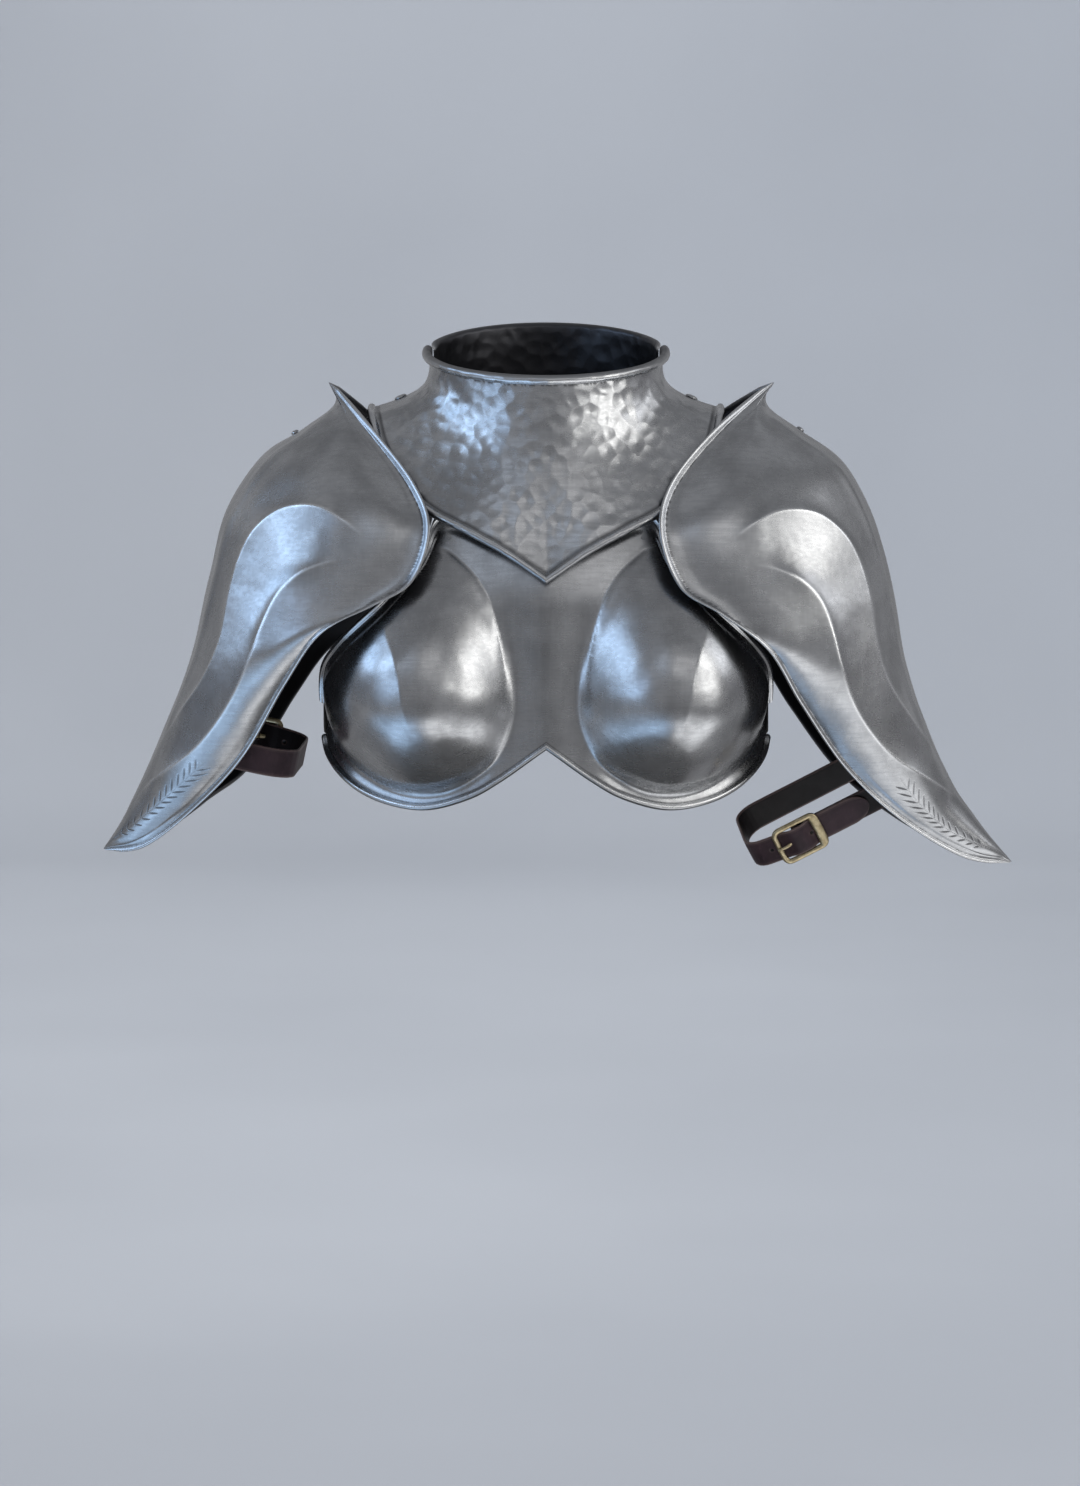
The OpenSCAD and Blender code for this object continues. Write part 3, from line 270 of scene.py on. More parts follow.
def spline(points, t):
    """Smooth curve through points, t from 0 to 1 along the list."""
    p = np.asarray(points, float)
    n = len(p) - 1
    p = np.concatenate([[2 * p[0] - p[1]], p, [2 * p[-1] - p[-2]]])
    s = np.clip(np.asarray(t, float), 0, 1) * n
    i = np.minimum(s.astype(int), n - 1)
    f = (s - i)[..., None]
    a, b, c, d = p[i], p[i + 1], p[i + 2], p[i + 3]
    return 0.5 * (2 * b + (c - a) * f + (2 * a - 5 * b + 4 * c - d) * f ** 2
                  + (3 * b - a - 3 * c + d) * f ** 3)


def unit(v):
    """Vectors made one long."""
    return v / np.maximum(np.linalg.norm(v, axis=-1, keepdims=True), 1e-12)


def normals_of(surface, u, s, inside, step=0.002):
    """Normals of a surface(u, s) in mm, turned away from the point inside."""
    n = unit(np.cross(surface(u + step, s) - surface(u - step, s),
                      surface(u, s + step) - surface(u, s - step)))
    return n * np.sign(np.sum(n * (surface(u, s) - np.asarray(inside, float))))


def waviness(p, size, seed):
    """Slow unevenness of hand work, about -1 to 1, over points in mm."""
    rng = np.random.default_rng(seed)
    total = 0
    for _ in range(7):
        way = unit(rng.normal(size=3))
        pace = 6.28 / size * rng.uniform(0.6, 1.5)
        total = total + np.sin(p @ way * pace + rng.uniform(0, 6.28))
    return total / 4


def roll(edge, out, up, r):
    """Points round a wired edge, from the outer face over the roll to the inner face."""
    r = np.broadcast_to(np.asarray(r, float), edge.shape[:1])[:, None]
    start, share = np.arcsin((sheet - r) / r), np.linspace(0, 1, roll_steps)
    a = (start + (1.5 * np.pi - start) * share)[..., None]
    r = r[..., None]
    edge, out, up = edge[:, None], out[:, None], up[:, None]
    return edge + up * (r - sheet) + r * (-np.cos(a) * out + np.sin(a) * up)


def kept(count, every):
    """Which of the outer face's columns of points the plain inner face needs."""
    return np.unique(np.concatenate([np.arange(0, count, every), [count - 1]]))


def rolled_rings(outer, up, near_edge, far_edge, near_r, far_r, every):
    """Closed rings of points: outer face, far roll, inner face, near roll."""
    far = roll(far_edge, unit(far_edge - outer[:, -1]), up[:, -1], far_r)
    near = roll(near_edge, unit(near_edge - outer[:, 0]), up[:, 0], near_r)
    inner = (outer - sheet * up)[:, kept(outer.shape[1], every)][:, ::-1]
    return np.concatenate([outer, far, inner, near[:, ::-1]], axis=1)


def reach(r):
    """How far a roll covers the sheet, from the plate's edge."""
    return math.sqrt(r * r - (r - sheet) ** 2) + 0.5


def finished(name, shape, finish, body, replaces=()):
    """A piece of the armour, on the body that carries it."""
    piece = made_of(name, shape, finish)
    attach(piece, body)
    if replaces:
        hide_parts(*replaces)


def plate_marks(outer, every):
    """Marks on a plate's rings: painted shade on its inner face, painted highlights on its rolls'
    crests, painted shade by the rolls.
    """
    inner = len(kept(outer, every))
    # Painted shade on the inner face, fading in over the inner half of each roll.
    fade = np.clip(np.linspace(-0.6, 1.2, roll_steps), 0, 1)
    # Painted highlight along the top of each roll.
    shine = bell(np.arange(roll_steps) - 3.5, 1.6)
    # Painted shade in a line along each edge of the outer face, by the rolls, carried in the cut
    # mark.
    face = np.zeros(outer)
    face[[0, -1]] = 1
    return {"inside": np.concatenate([0 * face, fade, np.ones(inner), fade[::-1]])[None],
            "crest_highlight": 0.7 * np.concatenate([0 * face, shine, np.zeros(inner), shine[::-1]])[None],
            "cut": np.concatenate([face, np.zeros(inner + 2 * roll_steps)])[None]}


def lofted(rings, closed_way=False, marks=None):
    """Shape through rings of points in mm. Its ends are capped, or joined where closed_way."""
    rows, across = rings.shape[:2]
    rings = np.concatenate([rings, rings[:, :1]], axis=1)
    if closed_way:
        rings = np.concatenate([rings, rings[:1]], axis=0)
        rows += 1
    shape = bmesh.new()
    shape.loops.layers.uv.new("sheet")
    bmesh.ops.create_grid(shape, x_segments=rows - 1, y_segments=across, size=1, calc_uvs=True)
    layers = {key: shape.verts.layers.float.new(key) for key in (marks or {})}
    for vert in shape.verts:
        i, j = round((vert.co.x + 1) / 2 * (rows - 1)), round((vert.co.y + 1) / 2 * across)
        for key, layer in layers.items():
            mark = marks[key]
            vert[layer] = float(mark[i % mark.shape[0], j]) if j < mark.shape[1] else 0.0
        vert.co = rings[i, j] * mm
    bmesh.ops.remove_doubles(shape, verts=shape.verts, dist=1e-7)
    rim = [e for e in shape.edges if e.is_boundary]
    for face in shape.faces:
        face.smooth = True
    if rim:
        bmesh.ops.holes_fill(shape, edges=rim, sides=0)
        for edge in rim:
            edge.smooth = False
    bmesh.ops.recalc_face_normals(shape, faces=shape.faces)
    return shape


front_edge = [(0, 0, -99, -140), (12, 28, -96, -121), (25, 53, -89, -108), (38, 76, -78, -97),
              (50, 95, -62, -82), (62, 108, -43, -60), (75, 114, -24, -41), (88, 115, 0, -38),
              (97, 115, 26, -38)]


def gorget_surface(edges, s):
    """Points between the neck rim and the outer edge; edges hold angle, x, y, z."""
    turn = np.radians(edges[..., 0])
    sine, cosine = np.sin(turn), np.cos(turn)
    rim = np.stack([77 * sine, -72 * cosine, -12 * cosine], -1)
    drop = np.where(cosine > 0, 34, 8) * smooth((np.abs(cosine) - 0.35) / 0.65)
    base = np.stack([76 * sine, -75 * cosine, -24 - drop], -1)
    edge = edges[..., 1:]
    s = s[..., None]
    a, b, c, d = rim, rim + 0.92 * (base - rim), base + 0.12 * (edge - base), edge
    return ((1 - s) ** 3 * a + 3 * (1 - s) ** 2 * s * b + 3 * (1 - s) * s * s * c + s ** 3 * d)


def mirrored(points, u):
    """Points of the left half, put on the right where u is below 0."""
    points = points.copy()
    points[..., 0] *= np.where(u < 0, -1, 1)
    return points


def front_surface(u, s):
    return mirrored(gorget_surface(spline(front_edge, np.abs(u)), s), u)


def spans(surface, u, samples):
    """Length in mm of each cross-section of a surface."""
    u, s = np.meshgrid(u, np.linspace(0, 1, samples), indexing="ij")
    return np.linalg.norm(np.diff(surface(u, s), axis=1), axis=2).sum(1)[:, None]


def plate(name, finish, body, node, surface, u, near_r, far_r, columns, inside, lift, inset=0.0):
    """A plate with rolled edges, u along it and s = 0..1 across."""
    cells, every = np.linspace(0, 1, columns), 3
    length = spans(surface, u, 9)
    near_r = np.broadcast_to(np.asarray(near_r, float), u.shape)
    far_r = np.broadcast_to(np.asarray(far_r, float), u.shape)
    a = np.array([reach(r) for r in near_r])[:, None] / length
    b = 1 - np.array([reach(r) for r in far_r])[:, None] / length
    s = a + (b - a) * cells[None]
    grid_u = np.repeat(u[:, None], len(cells), 1)
    up = normals_of(surface, grid_u, s, inside)
    outer = surface(grid_u, s) - inset * up
    outer = outer + up * lift(outer, s * length, (1 - s) * length)[..., None]
    ends = [surface(u, np.full_like(u, e)) - inset * up[:, k] for e, k in ((0.0, 0), (1.0, -1))]
    rings = rolled_rings(outer, up, ends[0], ends[1], near_r, far_r, every)
    finished(name, lofted(rings, marks=plate_marks(columns, every)), finish, body, [node])


def steel(name, dents_mm=0.0, shade=(0.60, 0.605, 0.615), gloss=0.20):
    """Polished sheet steel: brushed by hand, faintly stained and planished, with painted shade on
    its inner face.
    """
    dent_size, planish_size = 9.0, 17
    finish = Finish(name, 1.0, gloss)
    smudge = finish.noise(42, 4.0, 0.62)
    brush = finish.noise(1.8, 0.6, 0.5, (0.06, 1, 1), (0.25, 0.15, 0.5))
    cross = finish.noise(1.8, 0.6, 0.5, (1, 1, 0.06), (0.3, 0.1, 0.0))
    tone = finish.mix(smudge.above(0.36, 0.72), shade, tuple(0.76 * c for c in shade))
    tone = finish.mix(brush.above(0.42, 0.66) * 0.16, tone, (0.32, 0.325, 0.34))
    tone = finish.mix(cross.above(0.45, 0.7) * 0.08, tone, (0.82, 0.83, 0.85))
    # Dark lines: the graved lines of the sprig, and the lines by the rolls, which are painted
    # shade.
    tone = finish.mix(finish.attribute("cut") * 0.8, tone, (0.10, 0.10, 0.105))
    # Painted highlight along the crests of the pauldrons' ridges and of the rolls.
    tone = finish.mix(finish.attribute("crest_highlight") * 0.85, tone, (0.97, 0.975, 0.98))
    # Painted shade: the inner faces are darkened nearly to black.
    inside = finish.attribute("inside")
    tone = finish.mix(inside, tone, (0.08, 0.08, 0.087))
    normal = finish.bump(finish.noise(planish_size, 2.0, 0.45), 0.42, 0.8)
    if dents_mm:
        cells = finish.add("ShaderNodeTexVoronoi", {"feature": "SMOOTH_F1"}, {
            "Vector": finish.place(), "Scale": 1000 / dent_size, "Smoothness": 0.35,
            "Randomness": 1.0})
        normal = finish.bump(cells, dents_mm, 1.0, normal)
    finish.feed(Base_Color=tone, Normal=normal,
                Roughness=gloss + 0.10 * finish.noise(14, 2.0, 0.5) + 0.08 * smudge
                + 0.06 * brush + 0.14 * inside - 0.05)
    return finish


hammered_steel = steel("hammered_steel", 0.75)
plate_steel = steel("plate_steel")
u = np.linspace(-1, 1, 261)
# The lower roll thins out by the shoulders, so that the pauldrons clear it when they lift.
front_roll = gorget_roll * (1 - 0.6 * smooth((np.abs(u) - 0.92) / 0.05))
plate("gorget_front", hammered_steel, "gorget_front", "gorget_front_plate", front_surface, u,
      neck_roll, front_roll, 70, (0, 0, -60),
      lambda p, near, far: 0.25 * waviness(p, 30, 3) * smooth(near / 8) * smooth(far / 8))

# Gorget, back plate. It laps under the front one at both shoulders, where its rolls stop short,
# and turns on the pivot at the wearer's left.
lap_gap = 0.9
back_edge = [(94.1, 115, 17.6, -38), (96.6, 115, 24.9, -38.2), (101.5, 112, 33.5, -40),
             (112, 98, 46, -47), (127, 78, 59, -60.5), (144, 54, 71, -73.5),
             (162, 27, 80, -84), (180, 0, 84, -91)]


def back_surface(u, s):
    edges = spline(back_edge, 1 - np.abs(u))
    return mirrored(gorget_surface(edges, s * (0.9 + 0.1 * smooth((edges[..., 0] - 100) / 25))), u)


def tapered(r):
    """A roll's radius along the plate: nearly nothing in the laps, and r between them."""
    start = sheet / 2 + 0.05
    return start + (r - start) * smooth((spline(back_edge, 1 - np.abs(u))[..., 0] - 98) / 10)


u = np.linspace(-1, 1, 221)
plate("gorget_back", hammered_steel, "gorget_back", "gorget_back_plate", back_surface, u,
      tapered(neck_roll), tapered(gorget_roll), 60, (0, 0, -40),
      lambda p, near, far: 0.25 * waviness(p, 30, 4) * smooth(near / 8)
      * smooth(far / 8) * smooth((p[..., 1] - 35) / 20), sheet + lap_gap)

# Breastplate. One sheet dished into two cups that meet in a keel, flanged along the arms and
# rolled over a wire all round its lower and upper edges.
breast_roll = 2.3
chest_half, chest_deep, chest_slope = 150, 94, 14
breast_low = [(0, -249), (11, -270), (20, -283), (32, -291), (46, -288), (60, -278),
              (72.5, -263.5), (76.5, -253)]
breast_high = [(0, -112), (13, -108), (27, -101), (32, -126), (41, -158), (56, -187),
               (71.5, -208.5), (76.5, -228)]
inner_crease = [(73.9, -121), (64.6, -123), (57.4, -128), (48.8, -136), (41.3, -146), (37.6, -153),
                (35, -160), (30.4, -179), (28, -195), (26.6, -212), (27.5, -228)]
outer_crease = [(109, -160), (106, -168), (101.5, -180), (97.5, -192), (94.7, -207),
                (92.7, -221), (89.7, -233), (87.3, -245)]


def breast_surface(u, s):
    """Two cups on an oval chest that draws in towards the neck, with a low keel between them."""
    low, high = spline(breast_low, np.abs(u)), spline(breast_high, np.abs(u))
    q = high + (low - high) * s[..., None]
    turn, z = np.radians(q[..., 0]), q[..., 1]
    depth = chest_deep - chest_slope * smooth((z + 160) / 65)
    x, y = chest_half * np.sin(turn), -depth * np.cos(turn)
    out = unit(np.stack([np.sin(turn) / chest_half, -np.cos(turn) / chest_deep, 0 * z], -1))
    rise = z + 219
    dome = 1 - ((np.abs(x) - 84) / 63) ** 2 - (rise / np.where(rise > 0, 105, 66)) ** 2
    soften = (0.05 + 0.10 * smooth((rise + 5) / 70)) * smooth((dome + 0.9) / 0.9)
    dome = (dome + np.sqrt(dome ** 2 + soften ** 2 + 1e-9)) / 2
    dome = dome ** (1.12 + 0.58 * smooth(rise / 60))
    lift = 46 * dome + 1.7 * bell(x, 15)
    return mirrored(np.stack([x, y, z], -1) + out * lift[..., None], u)


def beside(p, line, start, stop):
    """Nearest point of a line to each of p, and how far the line has faded in there."""
    gap = np.linalg.norm(p[..., None, :] - line, axis=-1)
    near = np.exp((gap.min(-1)[..., None] - gap) / 2.5)
    share = np.linspace(0, 1, len(line))
    fade = smooth(share / start) * smooth((1 - share) / stop)
    return gap.argmin(-1), gap.min(-1), near @ fade / near.sum(-1)


def way_along(line, i, step):
    """Direction of a line of points at its points i."""
    return unit(line[np.minimum(i + step, len(line) - 1)] - line[np.maximum(i - step, 0)])


def line_distance(p, line, start, stop):
    """Signed distance of points from a drawn line, and the line's fade there."""
    line = spline(line, np.linspace(0, 1, 90))
    i, gap, fade = beside(p, line, start, stop)
    ahead = way_along(line, i, 1)
    v = p - line[i]
    return np.sign(ahead[..., 0] * v[..., 1] - ahead[..., 1] * v[..., 0]) * gap, fade


def breast_lift(p, near, far):
    """Creases that edge the cups, and the hollows that set off the rolls."""
    flat = np.stack([np.abs(p[..., 0]), p[..., 2]], -1)
    d, ends = line_distance(flat, inner_crease, 0.12, 0.25)
    crease = ends * (0.6 * smooth(0.5 + d / 3) * np.exp(-np.maximum(d, 0) / 16)
                    - 0.5 * bell(d, 2.2))
    d, ends = line_distance(flat, outer_crease, 0.3, 0.3)
    crease = crease + ends * 0.9 * np.exp(-np.abs(d) / 5)
    edge = smooth(near / 6) * smooth(far / 6)
    flange = -1.9 * bell(far - 11, 5.5) * smooth((flat[..., 0] - 24) / 26)
    flange = flange - 0.8 * bell(near - 9, 4)
    return (crease + flange + 0.3 * waviness(p, 60, 5)) * edge


u = np.linspace(-1, 1, 371)
plate("breastplate", plate_steel, "gorget_front", "breastplate", breast_surface, u, breast_roll,
      breast_roll, 140, (0, 30, -200), breast_lift)

# Pauldrons. Each is one sheet raised into a leaf-shaped shell, from a spike on the shoulder to a
# point by the elbow, with a wired rim, a hollow on the neck side and two feather ridges. A sprig
# is cut with a graver near the point. The pair is hand made and differs a little.
wing_roll = 2.0
wing_rim = [np.array([(151, 0, -19), (112, -38, -48), (82, -70, -81), (75, -90, -110),
                      (88, -98, -144), (114, -98, -161), (145, -92, -185), (167, -75, -222),
                      (197, -53, -267), (233, -34, -303), (276, -14, -332), (312, 0, -341)], float),
            np.array([(144, 0, -19), (115, -38, -48), (87, -70, -81), (77, -90, -108),
                      (88, -98, -140), (114, -98, -156), (147, -94, -174), (171, -79, -209),
                      (198, -56, -257), (229, -35, -293), (266, -13, -325), (296, 0, -332)], float)]
wing_keel = [np.array([(151, 0, -19), (147, 0, -34), (168, 0, -51), (196, 0, -71), (216, 0, -106),
                       (229, 0, -150), (239, 0, -204), (253, 0, -247), (270, 0, -285),
                       (286, 0, -309), (301, 0, -328), (312, 0, -341)], float),
             np.array([(144, 0, -19), (141, 0, -34), (161, 0, -50), (188, 0, -68), (212, 0, -104),
                       (224, 0, -150), (235, 0, -198), (251, 0, -241), (268, 0, -281),
                       (281, 0, -308), (290, 0, -323), (296, 0, -332)], float)]
wing_back_hang, hang_end = [2, 6], 0.74
feather_1 = [(0.322, 0.09), (0.305, 0.145), (0.301, 0.2), (0.322, 0.26), (0.362, 0.3),
             (0.41, 0.315), (0.46, 0.31), (0.52, 0.29), (0.565, 0.29), (0.6, 0.31), (0.64, 0.36),
             (0.683, 0.43)]
feather_2 = [(0.36, 0.11), (0.387, 0.15), (0.415, 0.175), (0.45, 0.187), (0.5, 0.18),
             (0.55, 0.162), (0.605, 0.148), (0.65, 0.155), (0.69, 0.19), (0.715, 0.26),
             (0.74, 0.34), (0.755, 0.4)]
engraving = [[(0.729, 0.161), (0.799, 0.151), (0.854, 0.161), (0.91, 0.266)],
             [(0.724, 0.124), (0.764, 0.183), (0.819, 0.248), (0.905, 0.362)]]
crease_at = 0.405


def wing_base(k, u, v):
    """Points from the front rim, v = 0, over the keel to the back rim, u from spike to tip."""
    ease = 0.04 * smooth(v / 0.14) * smooth((1 - v) / 0.14)
    ease = ease * smooth(u / 0.2) * smooth((1 - u) / 0.2)
    rim = sum(spline(wing_rim[k], u + side * ease) for side in (-1, 0, 1)) / 3
    top = spline(wing_keel[k], u)
    turn = (np.pi * v)[..., None]
    hang = wing_back_hang[k] * (1 - smooth((u - hang_end) / 0.08))
    hang = hang - 2.5 * smooth((u - 0.8) / 0.1)
    drop = ((0.28 * np.abs(rim[..., 1]) + hang) * smooth((u - 0.3) / 0.2)
            * smooth((1 - u) / 0.04))[..., None]
    foot = rim * (1, 0, 1) - drop * (1 - np.cos(turn)) / 2 * np.array((0, 0, 1.0))
    middle = (-4 * smooth(u / 0.1) * smooth((1 - u) / 0.1))[..., None] * np.array((0, 1.0, 0))
    return foot + np.sin(turn) * (top - foot) + np.cos(turn) * rim * (0, 1, 0) + middle


def wing_up(k, u, v, h=0.004):
    return unit(np.cross(wing_base(k, u + h, v) - wing_base(k, u - h, v),
                         wing_base(k, u, v + h) - wing_base(k, u, v - h)))


def feather(k, ridge, p, out, back):
    """Height of a feather ridge, a fold that falls off more steeply on the keel's side, and the
    painted highlight along the ridge's top."""
    q = spline(ridge, np.linspace(0, 1, 160))
    line = wing_base(k, q[:, 0], np.where(back, 1 - q[:, 1], q[:, 1]))
    i, gap, fade = beside(p, line, 0.16, 0.18)
    ahead = way_along(line, i, 2)
    v = p - line[i]
    across = v - np.sum(v * ahead, -1, keepdims=True) * ahead
    side = np.where(np.sum(np.cross(ahead, v) * out, -1) > 0, 1, -1) * (-1 if back else 1)
    d = side * np.linalg.norm(across, axis=-1)
    fade = fade * bell(gap, 30)
    # Painted highlight along the ridge's top, on the front half only.
    crest_highlight = 0 * fade if back else fade * bell(d, 1.0)
    soft = 4.5 if back else 0.5
    d = np.sign(d) * (np.sqrt(d * d + soft ** 2) - soft)
    return np.array([3.1 * fade * np.where(d < 0, np.exp(d / 14), np.exp(-d / 7)), crest_highlight])


def graved(k, p, out):
    """Depth, 0 to 1, of the graved lines of the sprig: a stem with pairs of pointed leaves."""
    q = spline(engraving[k], np.linspace(0, 1, 60))
    stem = wing_base(k, q[:, 0], q[:, 1])
    up = wing_up(k, q[:, 0], q[:, 1])
    depth = bell(np.linalg.norm(p[..., None, :] - stem, axis=-1).min(-1), 0.4) * 0.5
    leaf_pairs, first_leaf, leaf_gap = 13, 6, 4
    for n in range(leaf_pairs):
        i = first_leaf + leaf_gap * n
        ahead = way_along(stem, i, 3)
        size = 11.0 * (1 - 0.045 * n) * (0.75 if n == 0 else 1)
        for side in (-1, 1):
            across = np.cross(up[i], ahead) * side
            leaf = unit(-0.80 * ahead + 0.60 * across)
            wide = np.cross(up[i], leaf)
            v = p - stem[i] - 0.6 * leaf
            a, b = v @ leaf / size, np.abs(v @ wide)
            edge = 0.60 * np.sin(np.pi * np.clip(a, 0, 1)) ** 0.7 + 0.02
            line = np.clip(1.15 - (b / edge) ** 2 * 1.15, 0, 1)
            depth = np.maximum(depth, np.where((a > 0) & (a < 1), line, 0))
    return depth


def wing_lift(k, u, v, p, out):
    """Relief of one half of a pauldron, and the painted highlight along its ridges' crests."""
    back = bool(v.mean() > 0.5)
    from_rim = np.linalg.norm(p - wing_base(k, u, np.full_like(v, float(back))), axis=-1)
    from_crease = np.linalg.norm(
        p - wing_base(k, u, np.full_like(v, 1 - crease_at if back else crease_at)), axis=-1)
    neck_side = smooth(u / 0.08) * (1 - smooth((u - 0.36) / 0.2))
    hollow = -3.6 * neck_side * (from_rim / 12) * np.exp(1 - from_rim / 12)
    crease = (1.2 * smooth((u - 0.1) / 0.05) * (1 - smooth((u - 0.6) / 0.1))
              * bell(from_crease, 6))
    inside = smooth(from_rim / 8)
    rim_line = -0.35 * bell(from_rim - 7.5, 1.1) * smooth((u - 0.45) / 0.1)
    ridges = inside * (feather(k, feather_1, p, out, back) + feather(k, feather_2, p, out, back))
    ridges[0] += hollow + crease + rim_line + 0.3 * waviness(p, 45, 7 + k) * inside
    return ridges


def runs(*parts):
    """Numbers that run on through parts, each given by its start, its end and a count."""
    return np.concatenate([np.linspace(*part)[:-1] for part in parts] + [parts[-1][1:2]])


wing_u = runs((0.02, 0.27, 60), (0.27, 0.43, 112), (0.43, 0.70, 76), (0.70, 0.925, 195),
              (0.925, 0.96, 9))
wing_cells = np.concatenate([
    [0, 0.004], runs((0.012, 0.1, 8), (0.1, 0.44, 112), (0.44, 0.996, 35)), [1]])
# The part of the grid that the sprig can reach.
sprig_rows, sprig_columns = slice(235, None), slice(0, 119)
closing_shares, every = (0.75, 0.5, 0.3, 0.14), 4
for k, side in ((0, "left"), (1, "right")):
    a = reach(wing_roll) / spans(lambda u, v: wing_base(k, u, v), wing_u, 17)
    v = a + (1 - 2 * a) * wing_cells[None]
    u = np.repeat(wing_u[:, None], v.shape[1], 1)
    base, up = wing_base(k, u, v), wing_up(k, u, v)
    split = int(np.argmin(np.abs(wing_cells - 0.5)))
    lift, crest_highlight = np.concatenate([
        wing_lift(k, u[:, half], v[:, half], base[:, half], up[:, half])
        for half in (slice(None, split), slice(split, None))], axis=2)
    cut = np.zeros_like(lift)
    sprig = sprig_rows, sprig_columns
    cut[sprig] = graved(k, base[sprig], up[sprig])
    outer = base + up * (lift - 0.3 * cut)[..., None]
    edges = [wing_base(k, wing_u, np.full_like(wing_u, e)) for e in (0.0, 1.0)]
    rings = rolled_rings(outer, up, edges[0], edges[1], wing_roll, wing_roll, every)
    for tip, end in ((wing_rim[k][0], 0), (wing_rim[k][-1], -1)):
        closing = [tip + share * (rings[end] - tip) for share in closing_shares]
        rings = np.concatenate([closing[::-1], rings] if end == 0 else [rings, closing])
    marks = plate_marks(len(wing_cells), every)
    added = len(closing_shares)
    for name, more in (("cut", cut), ("crest_highlight", crest_highlight)):
        more = np.pad(more, ((added, added), (0, marks[name].shape[1] - more.shape[1])))
        marks[name] = np.maximum(marks[name], more)
    if side == "right":
        rings = rings * (-1, 1, 1)
    finished("pauldron_" + side, lofted(rings, marks=marks), plate_steel,
             "pauldron_" + side, ["pauldron_" + side])

# Chest hangers. Two short bands of black leather, each riveted under the gorget and behind the
# breastplate's upper corner, so that the breastplate hangs from the gorget.
leather_t = 1.8


def leather(name, shade, worn, gloss=0.42, coat=0.25):
    """Vegetable-tanned leather: fine pores, cross wrinkles, edges rubbed and burnished, painted
    shade on its back and in its holes.
    """
    pore_size, wrinkle_size = 0.9, 2.6
    finish = Finish(name, 0.0, gloss, Coat_Weight=coat, Coat_Roughness=0.3,
                    Specular_IOR_Level=0.32)
    grain = finish.add("ShaderNodeTexVoronoi", {"feature": "F1"}, {
        "Vector": finish.place(), "Scale": 1000 / pore_size, "Randomness": 1.0})
    wrinkle = finish.noise(wrinkle_size, 4.0, 0.6, (1, 1, 0.35))
    cloud = finish.noise(16, 3.0, 0.6)
    edge = finish.attribute("edge")
    tone = finish.mix(cloud.above(0.35, 0.7), shade, tuple(0.55 * c for c in shade))
    tone = finish.mix(wrinkle.above(0.52, 0.7) * 0.35, tone, tuple(1.6 * c for c in shade))
    # Painted shade: the back of each strap is darkened nearly to black.
    tone = finish.mix(finish.attribute("flesh_side_shade") * 0.9, tone, (0.006, 0.0045, 0.0045))
    tone = finish.mix(edge, tone, worn)
    tone = finish.mix(finish.attribute("thread"), tone, (0.13, 0.085, 0.05))
    # Painted shade: the holes are coloured black in place of an opening.
    tone = finish.mix(finish.attribute("hole_shade"), tone, (0.001, 0.001, 0.001))
    normal = finish.bump(grain, 0.05, 0.6)
    normal = finish.bump(wrinkle, 0.16, 0.5, normal)
    finish.feed(Base_Color=tone, Normal=normal,
                Roughness=gloss + 0.2 * finish.noise(5, 3.0, 0.6) - 0.12 * edge - 0.05)
    return finish


def arrays(frame_at):
    """A frame's origin and directions."""
    return [np.asarray(v, float) for v in frame_at]


